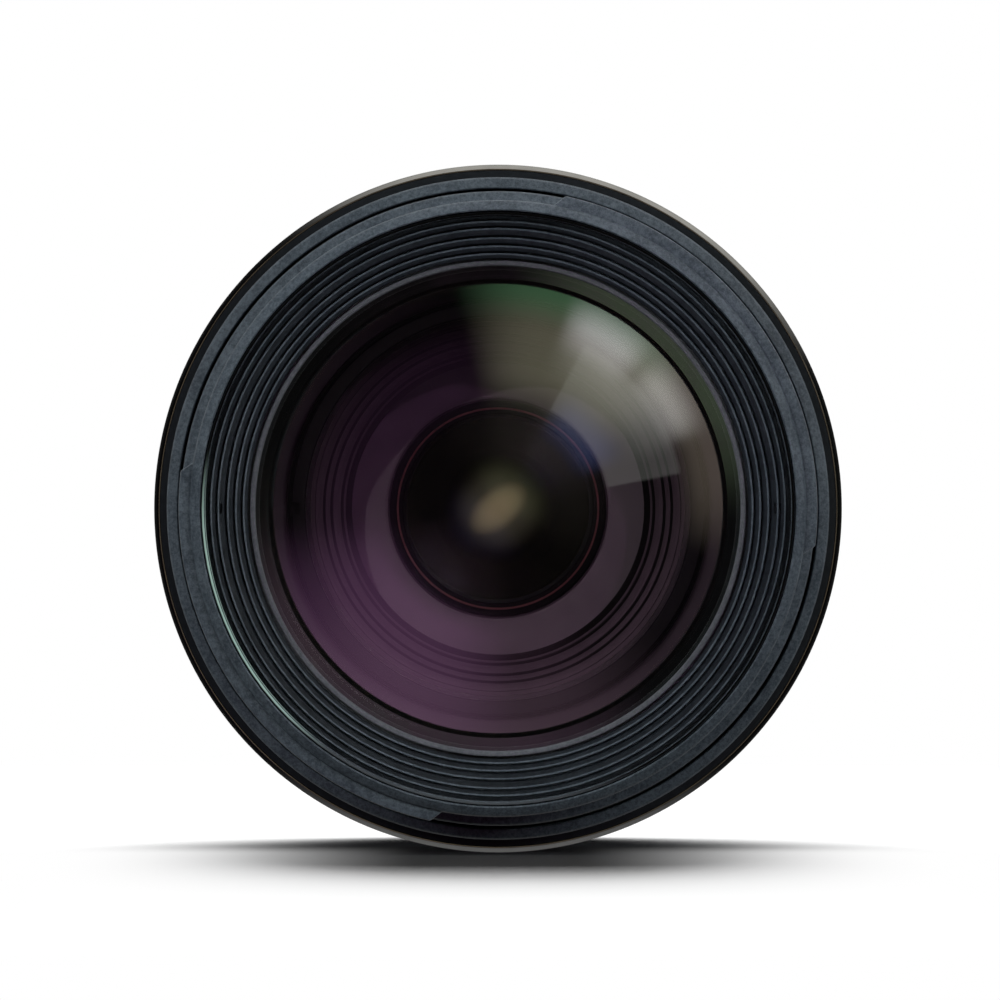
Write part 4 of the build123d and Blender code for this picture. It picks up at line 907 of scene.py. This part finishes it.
ring_piece("zoom_ring_turned", "zoom_ring", "slate_body", ["zoom_ring"], [
    (RING_BORE, 40.9), (37.2, 40.9, 0.1), (BAND, 41.2, 0.15), (BAND, 49.6, 0.1), (37.2, 49.88, 0.1),
    *[(GRIP_SEAT, end) for end in ZOOM_GRIP], (BAND, ZOOM_GRIP[1], 0.05), (BAND, 81.7, 0.2),
    (37.3, 82.0, 0.12), (36.32, 82.4, 0.12), (RING_BORE, 82.2, 0.05), (RING_BORE, 81.2), (36.7, 81.2),
    (36.7, 79.8), (RING_BORE, 79.8),
])
ring_piece("barrel_seal_turned", "zoom_ring", "seal_rubber", ["barrel_seal"], [
    (36.06, 80.4, 0.05), (36.3, 79.82), (36.68, 79.82), (36.68, 81.18), (36.3, 81.18),
    (36.06, 80.7, 0.05),
], corner=0.02)
# %% Inner barrel, collar and focus ring
ring_piece("inner_barrel_turned", "front_group", "inner_barrel_plastic", ["inner_barrel"], [
    (34.6, 48.0), (35.9, 48.0, 0.15), (35.9, 82.0, 0.15), (34.6, 82.0, 0.05), (34.6, 69.5),
    (31.5, 69.5), (31.5, 67.5), (34.6, 67.5),
])
ring_piece("index_collar_turned", "barrel", "slate_body", ["index_collar"], [
    (RING_BORE, 36.6), (37.3, 36.6, 0.1), (BAND, 36.8, 0.15), (BAND, 40.4, 0.15), (37.3, 40.6, 0.1),
    (RING_BORE, 40.6), (RING_BORE, 39.4), (32.8, 39.4), (32.8, 37.8), (RING_BORE, 37.8),
])
ring_piece("focus_ring_turned", "focus_ring", "slate_body", ["focus_ring"], [
    (RING_BORE, 22.3), (37.2, 22.3, 0.1), (BAND, 22.6, 0.15), (BAND, 24.3, 0.1), (37.2, 24.48, 0.1),
    *[(GRIP_SEAT, end) for end in FOCUS_GRIP], (37.2, 34.12, 0.1), (BAND, 34.3, 0.1),
    (BAND, 36.0, 0.15), (37.2, 36.3, 0.1), (RING_BORE, 36.3),
])

# %% [markdown]
# Both rings wear a moulded rubber sleeve with sixty ribs that run along the axis, between two plain
# lips. One rounded rib is modelled, and the pattern tree repeats it. A thin hoop of dark polished
# metal guards the front lip. Its bevel of 45 degrees mirrors what is straight above it, and this is
# the pale line along the top of the barrel in the photograph.

# %% Ribbed grips
RIB_COUNT = 60
RIB_SHARE = 0.58
LIP = 2.4


def ribbed_grip(body, start, end):
    """A rubber sleeve between two places on a ring, with its ribs."""
    sleeve = turned([
        (GRIP_SEAT, start), (38.6, start, 0.15), (39.0, start + 0.4, 0.2), (39.0, start + LIP, 0.15),
        (38.31, start + LIP + 0.3, 0.15), (38.31, end - LIP - 0.3, 0.15), (39.0, end - LIP, 0.15),
        (39.0, end - 0.66, 0.05), (38.3, end - 0.7, 0.02), (38.3, end, 0.05), (GRIP_SEAT, end),
    ], "grip_rubber")
    width = 360 / RIB_COUNT * RIB_SHARE
    rib = arc_block(38.1, 38.99, start + LIP - 0.2, end - LIP + 0.2, -width / 2, width, 0.28, 2)
    ribs = repeated(rib, RIB_COUNT, 0, 360 / RIB_COUNT, "grip_rubber")
    node = body.replace("ring", "grip")
    hand_over(joined("grip_rubber", sleeve, ribs), node + "_ribbed", body, "grip_rubber", node)


def grip_hoop(body, end):
    """A thin metal hoop that guards the front lip of a grip, with a bevel of 45 degrees."""
    ring_piece(body.replace("ring", "grip") + "_hoop", body, "mount_metal", [], [
        (38.32, end - 0.66), (38.97, end - 0.64, 0.02), (39.0, end - 0.5, 0.03), (38.5, end, 0.04),
        (38.32, end, 0.02),
    ], "hoop_metal", segments=256)


ribbed_grip("zoom_ring", *ZOOM_GRIP)
ribbed_grip("focus_ring", *FOCUS_GRIP)
grip_hoop("zoom_ring", ZOOM_GRIP[1])
grip_hoop("focus_ring", FOCUS_GRIP[1])

# %% [markdown]
# The scale of the zoom ring is printed in pale ink: plain figures for the focal length, read from
# behind the camera. Blender's own font gives the figures, which are bent round the band and raised by
# a few hundredths of a millimetre. At rest the first figure stands at the index line on the collar.

# %% Figures and index
FIGURE_HEIGHT = 3.0
SCALE = ((0, "17"), (17, "20"), (34, "24"), (50, "28"), (66, "35"))
INK = 0.03


def figure(label, angle, radius, place):
    """A number laid on the band, centred on an angle."""
    curve = bpy.data.curves.new("figure", "FONT")
    curve.body, curve.size, curve.extrude = label, FIGURE_HEIGHT * 1.35 * MM, INK * MM
    curve.resolution_u = 3
    mesh = baked(stand("figure", curve))
    wide = [vertex.co.x for vertex in mesh.vertices]
    middle = (min(wide) + max(wide)) / 2
    for vertex in mesh.vertices:
        turn = math.radians(angle) + (vertex.co.x - middle) / (radius * MM)
        out = radius * MM + vertex.co.z
        vertex.co = (out * math.cos(turn), -place * MM - vertex.co.y, out * math.sin(turn))
    return mesh


figures = [figure(label, 90 - turn, BAND, 43.6) for turn, label in SCALE]
ticks = [arc_block(BAND - 0.1, BAND + INK, 41.6, 42.7, 90 - turn - 0.35, 0.7, 0.01, 2)
         for turn, _ in SCALE]
hand_over(joined("mark_white", *figures, *ticks), "zoom_scale", "zoom_ring", "slate_body")
index_line = arc_block(BAND - 0.1, BAND + INK, 37.0, 40.3, 89.4, 1.2, 0.02, 4)
hand_over(joined("mark_white", index_line), "index_line", "barrel", "slate_body")

# %% [markdown]
# The rear barrel tapers towards the mount. It is turned first, and then a pocket and a well are
# milled into its side for the focus switch, in the order of the workshop.

# %% Rear barrel
barrel_blank = turned([
    (24.0, 2.0), (33.1, 2.0, 0.1), (33.3, 2.2, 0.1), (33.3, 4.5, 1.5), (37.5, 12.0, 1.5),
    (37.5, 21.8, 0.15), (37.3, 22.0, 0.1), (35.2, 22.0), (35.2, 11.0), (34.8, 11.0), (34.8, 9.0),
    (29.0, 9.0), (29.0, 7.0), (31.6, 7.0), (31.6, 3.6), (24.0, 3.6),
], "slate_body", 0.0, 256, 6)
pocket = slab((36.8, 12.95, -5.55), (40.0, 21.05, 5.55))
well = slab((35.8, 13.55, -1.3), (40.0, 20.4, 1.3))
barrel = carved(barrel_blank, pocket, well)
hand_over(barrel, "rear_barrel_turned", "barrel", "slate_body", "rear_barrel")

# %% [markdown]
# The switch is a small moulded panel with a window, in which a ribbed knob slides along the axis. The
# knob rides on a body of its own, and its slider stays hidden under the panel at both ends.

# %% Focus switch
window_cut = slab((36.0, 14.3, -1.2), (39.0, 19.7, 1.2))
panel = joined("switch_plastic", carved(slab((36.82, 13.0, -5.5), (37.6, 21.0, 5.5), 0.2), window_cut))
hand_over(panel, "switch_panel_moulded", "barrel", "black_plastic", "switch_panel")
dots = [slab((37.5, s - 0.3, 3.0), (37.6 + INK, s + 0.3, 3.6), 0.02) for s in (15.9, 18.1)]
hand_over(joined("mark_white", *dots), "switch_marks", "barrel", "black_plastic")

# %% Knob of the switch
slider = slab((35.93, 13.72, -1.08), (36.53, 18.08, 1.08), 0.05)
knob = slab((36.4, 14.4, -1.1), (38.3, 17.4, 1.1), 0.2)
teeth = [slab((38.1, 14.6 + 0.7 * i, -1.0), (38.5, 15.0 + 0.7 * i, 1.0), 0.12) for i in range(4)]
knob = joined("switch_plastic", slider, knob, *teeth)
hand_over(knob, "switch_knob", "switch", "switch_plastic", "focus_switch")

# %% [markdown]
# The mount is turned from metal and polished. Three bayonet lugs stand on its spigot, four screws hold
# its flange, and a blind hole takes the lock pin of the camera. A thin rubber skirt round the flange
# keeps dust out. The sinks of the screws and the hole are cut after turning, and a black disc near the
# bottom of the hole is painted shade, so that the hole looks dark.

# %% Mount plate
SCREW_RING = 29.2
mount_blank = turned([
    (22.6, -5.6, 0.25), (24.6, -5.6, 0.4), (24.6, -0.15, 0.05), (24.9, 0.0, 0.1), (32.6, 0.0, 0.25),
    (32.6, 2.0, 0.1), (22.6, 2.0, 0.1),
], "mount_metal", 0.0, 256, 4)


# %% Sinks, lock hole and lugs
def rod(radius, back, front, round_edge=0.0):
    """A round bar about the optical axis, ready to be moved."""
    outline = [(0, back), (radius, back, round_edge), (radius, front, round_edge), (0, front)]
    return turned(outline, "mount_metal", 0.0, 40)


sinks = repeated(moved(rod(1.95, -1.0, 1.1), SCREW_RING), 4, 45, 90, "mount_metal")
lock_hole = moved(rod(1.6, -1.0, 1.4), SCREW_RING)
mount_blank = carved(mount_blank, sinks, lock_hole)
mount_lug = arc_block(24.4, 26.6, -4.6, -2.8, 0, 56, 0.25, 28, 1.0)
mount_lugs = repeated(mount_lug, 3, 62, 120, "mount_metal")
mount = joined("mount_metal", mount_blank, mount_lugs)
hand_over(mount, "mount_plate_turned", "barrel", "mount_metal", "mount_plate")
# A black disc near the bottom of the lock hole: painted shade inside the hole.
hole_shade_disc = joined("seat_black", moved(rod(1.56, 0.55, 1.38, 0.1), SCREW_RING))
hand_over(hole_shade_disc, "lock_hole_painted_shade", "barrel", "black_plastic")
ring_piece("mount_seal_moulded", "barrel", "seal_rubber", ["mount_seal"], [
    (32.6, 0.25), (32.75, 0.2, 0.05), (33.28, 0.6, 0.15), (33.28, 1.98, 0.05), (32.6, 1.98),
], corner=0.02)

# %% [markdown]
# The screws have flat heads with a cross recess. One head is turned, two slabs are cut out of it, and
# the pattern tree sets four of them into their sinks.

# %% Mount screws
head = turned([
    (0, 0.14), (1.1, 0.14, 0.3), (1.7, 0.3, 0.3), (1.88, 0.6, 0.1), (1.88, 1.08), (0.94, 1.1),
    (0.94, 3.18), (0, 3.18),
], "screw_steel", 0.0, 40)
cross = [slab((-x, -0.2, -z), (x, 0.75, z)) for x, z in ((1.15, 0.24), (0.24, 1.15))]
screw = moved(carved(head, *cross), SCREW_RING)
screws = repeated(screw, 4, 45, 90, "screw_steel")
hand_over(screws, "mount_screws_crossed", "barrel", "screw_steel", "mount_screws")

# %% [markdown]
# Nine gilt contacts stand in a curved black block on the rim of the spigot. Each pin has a domed head,
# which slides over the contacts of the camera when the lens is turned into its mount.

# %% Contacts
block = arc_block(18.6, 22.6, -4.88, 1.0, 246, 48, 0.3, 24)
block = joined("black_plastic", block)
hand_over(block, "contact_block_moulded", "barrel", "black_plastic", "contact_block")
PIN_COUNT, PIN_STEP, PIN_RING = 9, 4.6, 20.8
FIRST_PIN = 270 - PIN_STEP * (PIN_COUNT - 1) / 2
pin = turned([
    (0, -5.15), (0.2, -5.13, 0.1), (0.45, -4.98, 0.15), (0.55, -4.7, 0.1), (0.55, -3.7), (0, -3.7),
], "gilt_contact", 0.0, 24)
pins = repeated(moved(pin, PIN_RING), PIN_COUNT, FIRST_PIN, PIN_STEP, "gilt_contact")
hand_over(pins, "contact_pins_domed", "barrel", "gilt_contact", "contact_pins")

# %% [markdown]
# The lens lies on its barrel on a white floor. Diffuse light from the room is plain and even. For
# glossy rays the world is a studio full of cards that glass and metal mirror: bright and olive ones at
# the upper right, a green one above them, violet ones at the lower left and a faint window near the
# axis. Cards straight above and below shine in the hoops of the grips, and those behind the lens in
# its mount. Each is a window in azimuth, counted anticlockwise from the right, and in the angle off
# axis.

# %% Cards of the studio
FRONT_ROOM = 0.003
BACK_ROOM = 0.14
ROOM_LIGHT = 0.035
STREAK_ANGLE = 40
STREAK = (0.12, 0.07)
STREAK_COLOUR = (0.5, 0.36, 0.2)
# Azimuth, half width and softness; near and far angle off axis and feather; colour.
CARDS = (
    (36.5, 25.5, 0.8, 20.5, 34.6, 0.6, (0.23, 0.23, 0.22)),
    (41, 14, 9, 17, 24, 3, (0.08, 0.11, 0.32)),
    (45, 12, 17, 28, 42, 5, (0.6, 0.57, 0.54)),
    (58, 7, 7, 34, 41, 4, (1.2, 1.1, 1.25)),
    (32, 6.5, 6.5, 34.5, 40, 3, (0.9, 0.85, 0.87)),
    (64, 13, 25, 22, 38, 5, (0.5, 0.46, 0.33)),
    (67, 13, 23, 38, 45, 4, (0.19, 0.45, 0.23)),
    (22, 20, 16, 36, 46, 3, (0.34, 0.27, 0.22)),
    (230, 24, 24, 21.5, 46, 3, (0.25, 0.1, 0.25)),
    (258, 26, 24, 21.5, 46, 3, (0.07, 0.035, 0.06)),
    (262, 34, 28, 34, 46, 3, (0.13, 0.08, 0.11)),
    (160, 70, 30, 20, 33, 4, (0.045, 0.018, 0.045)),
    (222, 26, 20, 46, 55, 1, (0.055, 0.075, 0.045)),
    (66, 46, 20, 47, 55, 1, (0.05, 0.03, 0.045)),
    (22, 22, 12, 61, 73, 1.5, (0.36, 0.52, 0.46)),
    (72, 34, 14, 61, 73, 1.5, (0.07, 0.08, 0.09)),
    (45, 60, 30, 5, 18, 4, (0.022, 0.02, 0.017)),
    (0, 180, 0, 0, 5.5, 3.5, (0.2, 0.17, 0.13)),
    (50, 60, 30, 2, 8, 2.5, (0.07, 0.075, 0.03)),
    (225, 60, 30, 2, 8, 2.5, (0.03, 0.022, 0.055)),
    (90, 70, 60, 116, 158, 10, (0.8, 0.81, 0.83)),
    (270, 70, 60, 120, 158, 10, (0.42, 0.42, 0.44)),
    (76, 36, 16, 78, 104, 6, (1.5, 1.46, 1.36)),
    (270, 27, 14, 80, 104, 6, (0.45, 0.45, 0.45)),
)
print("cards", len(CARDS))

# %% World
def studio_world():
    world = bpy.data.worlds.new("studio")
    bpy.context.scene.world = world
    world.use_nodes = True
    world.node_tree.nodes.clear()
    g = Graph(world.node_tree)
    right, back, up = g.split(g.add("ShaderNodeTexCoord"))
    off_axis = (back * -1.0).math("ARCCOSINE") * (180 / math.pi)
    across = (right * right + up * up).math("SQRT").math("MAXIMUM", 0.0001)

    def window(azimuth, half, soft, near, far, feather):
        """A mask round an azimuth, between two angles off axis, with soft edges in degrees."""
        mask = off_axis.smooth(far + feather, far - feather)
        if near > 0:
            mask = mask * off_axis.smooth(near - feather, near + feather)
        if half < 180:
            a = math.radians(azimuth)
            along = (right * math.cos(a) + up * math.sin(a)) / across
            outer, inner = min(half + soft, 180), max(half - soft, 0)
            mask = mask * along.smooth(math.cos(math.radians(outer)), math.cos(math.radians(inner)))
        return mask

    def lit(light, colour, mask):
        """The light of the studio with one card more."""
        card = g.add("ShaderNodeVectorMath", {"operation": "SCALE"}, {0: colour, "Scale": mask})
        return g.add("ShaderNodeVectorMath", {"operation": "ADD"}, {0: light, 1: card})

    light = g.mix(back.smooth(-0.1, 0.6), (FRONT_ROOM,) * 3 + (1,), (BACK_ROOM,) * 3 + (1,))
    for *sizes, colour in CARDS:
        light = lit(light, colour, window(*sizes))
    tilt = math.radians(STREAK_ANGLE)
    length = (right * math.cos(tilt) + up * math.sin(tilt)) * (1 / STREAK[0])
    width = (right * -math.sin(tilt) + up * math.cos(tilt)) * (1 / STREAK[1])
    streak = (length * length + width * width).smooth(1.0, 0.0) * (back * -1.0).smooth(0.5, 0.9)
    light = lit(light, STREAK_COLOUR, streak)
    seen = g.add("ShaderNodeLightPath", out=0)
    mirrored = g.add("ShaderNodeLightPath", out=3).math("MAXIMUM", g.add("ShaderNodeLightPath", out=6))
    light = g.mix(mirrored, (ROOM_LIGHT,) * 3 + (1,), light)
    light = g.mix(seen, light, (1, 1, 1, 1))
    g.surface(g.add("ShaderNodeBackground", values={"Color": light}), "ShaderNodeOutputWorld")


studio_world()

# %% [markdown]
# The floor is diffuse, so it keeps the shadow of the lens, and far from the lens it turns into a plain
# white glow for the camera alone, so that no horizon shows. The same glow fades the two ends of the
# shadow in front of the rim, which the photograph shows short.

# %% Floor
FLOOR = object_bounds()[0].z
FLOOR_HALF, FLOOR_BEHIND = 3.0, 12.0
FLOOR_SEEN, FLOOR_UNSEEN = 1.0, 0.15
GLOW = (0.22, 0.45)
SHADOW_SIDES, SHADOW_AHEAD = (8, 52), (45, 85)


def studio_floor():
    g = new_finish("floor_white")
    right, forward, up, _ = g.place()
    distance = (right * right + forward * forward).math("SQRT") * MM
    seen = g.add("ShaderNodeLightPath", out=0)
    dim, pale = [g.add("ShaderNodeBsdfDiffuse", values={"Color": (tone, tone, tone, 1)})
                 for tone in (FLOOR_UNSEEN, FLOOR_SEEN)]
    glow = g.add("ShaderNodeEmission", values={"Strength": 1.0})
    near = g.add("ShaderNodeMixShader", values={0: seen, 1: dim, 2: pale})
    sides = right.math("ABSOLUTE").smooth(*SHADOW_SIDES) * forward.smooth(*SHADOW_AHEAD)
    fade = distance.smooth(*GLOW).math("MAXIMUM", sides) * seen
    g.surface(g.add("ShaderNodeMixShader", values={0: fade, 1: near, 2: glow}))
    mesh = bpy.data.meshes.new("floor")
    corners = [(x, y, FLOOR) for y in (-FLOOR_HALF, FLOOR_BEHIND) for x in (-FLOOR_HALF, FLOOR_HALF)]
    mesh.from_pydata(corners, [], [(0, 1, 3, 2)])
    mesh.materials.append(FINISHES["floor_white"])
    floor = stand("floor", mesh)
    floor.visible_glossy = False


studio_floor()
print("floor at", round(FLOOR / MM, 2), "mm")

# %% [markdown]
# Three broad lamps stand one above the other behind the lens, so its shadow falls forward and fades
# softly. Three in front light the faces that the camera sees, from above, left and right, so that
# rims which slope outwards grow darker towards the floor. Two snooted spots reach down into the
# funnel. Those in front are kept off the floor and out of the glass, as flags would do in a studio.
# A small lamp near the floor lights the ridges of the baffle alone, so that they show at the top too.

# %% Lamps behind
CENTRE, FUNNEL = (0, -0.05, 0), (0, -0.08, 0)
BACK_HEIGHTS = (25, 33, 44)
BACK_POWER = 1.12
BACK_WIDTH = 32
SNOOT_RADIUS = 0.012

for height in BACK_HEIGHTS:
    lamp = bpy.data.lights.new(f"back_light_{height}", "SUN")
    lamp.energy = BACK_POWER / math.sin(math.radians(height))
    lamp.angle = math.radians(BACK_WIDTH)
    holder = stand(lamp.name, lamp)
    holder.rotation_euler = (math.radians(height - 90), 0, 0)
    holder.visible_glossy = False


# %% Hang a lamp
def hang(lamp, place, aim):
    """Hangs a lamp at a place in metres, facing aim, where neither camera nor glass sees it."""
    holder = stand(lamp.name, lamp)
    holder.location = place
    holder.rotation_mode = "QUATERNION"
    holder.rotation_quaternion = (Vector(aim) - Vector(place)).to_track_quat("-Z", "Y")
    holder.visible_camera = holder.visible_glossy = False
    return holder


def softbox(name, place, power, aim=CENTRE, size=(0.4, 0.4)):
    """A rectangular soft lamp."""
    lamp = bpy.data.lights.new(name, "AREA")
    lamp.shape, lamp.energy = "RECTANGLE", power
    lamp.size, lamp.size_y = size
    return hang(lamp, place, aim)


def snoot(name, place, power, spread, colour=(1, 1, 1)):
    """A narrow spot lamp that lights the funnel alone."""
    lamp = bpy.data.lights.new(name, "SPOT")
    lamp.energy, lamp.color = power, colour
    lamp.spot_size, lamp.spot_blend = math.radians(spread), 0.3
    lamp.shadow_soft_size = SNOOT_RADIUS
    return hang(lamp, place, FUNNEL)


# %% Lamps in front
front_lamps = [
    softbox("left_front", (-0.66, -0.6, 0.38), 5.6),
    softbox("right_front", (0.76, -0.55, 0.28), 5.4),
    softbox("high_front", (0.0, -0.7, 0.75), 1.3),
    snoot("bore_light", (-0.26, -1.16, 0.4), 30.0, 2.8),
    snoot("bore_violet", (0.33, -1.16, 0.38), 14.0, 2.7, (1.0, 0.55, 1.0)),
]
low_lamp = softbox("low_front", (0.06, -0.34, -0.025), 0.5, (0, -0.085, 0.028), (0.2, 0.02))

# %% What each lamp lights
unlit = bpy.data.collections.new("not_lit_from_the_front")
unlit.objects.link(bpy.data.objects["floor"])
unlit.collection_objects[0].light_linking.link_state = "EXCLUDE"
for lamp in front_lamps:
    lamp.light_linking.receiver_collection = unlit
ridges_only = bpy.data.collections.new("lit_from_below")
for name in ("baffle_ring_turned", "baffle_crests"):
    ridges_only.objects.link(bpy.data.objects[name])
low_lamp.light_linking.receiver_collection = ridges_only

# %% [markdown]
# The photograph looks straight along the axis. The camera stands 1.5 m in front and its focal length
# makes the barrel 344 pixels in radius, as measured, on an image 1000 pixels square.

# %% Camera
BARREL_RADIUS = 39.0
BARREL_PIXELS = 344.0
BARREL_PLACE = 79.2
CENTRE_PIXEL = (498.0, 508.5)
IMAGE = 1000.0
DISTANCE = 1500.0

camera_data = bpy.data.cameras.new("camera")
camera = stand("camera", camera_data)
bpy.context.scene.camera = camera
lens_front = cad_box[0].y
camera.location = (0, lens_front - DISTANCE * MM, 0)
camera.rotation_euler = (math.radians(90), 0, 0)
camera_data.sensor_width = 36.0
to_barrel = DISTANCE + (-lens_front / MM - BARREL_PLACE)
camera_data.lens = BARREL_PIXELS / BARREL_RADIUS * to_barrel * camera_data.sensor_width / IMAGE
camera_data.shift_x = (IMAGE / 2 - CENTRE_PIXEL[0]) / IMAGE
camera_data.shift_y = (CENTRE_PIXEL[1] - IMAGE / 2) / IMAGE
camera_data.clip_end = 100
print("focal length", round(camera_data.lens, 1))

# %% [markdown]
# Colours are shown as they are, without a film look. A ray passes many coated surfaces on its way
# through the lens, so more transparent steps are allowed than usual.

# %% Settings
scene = bpy.context.scene
scene.view_settings.view_transform = "Standard"
scene.cycles.transparent_max_bounces = 40
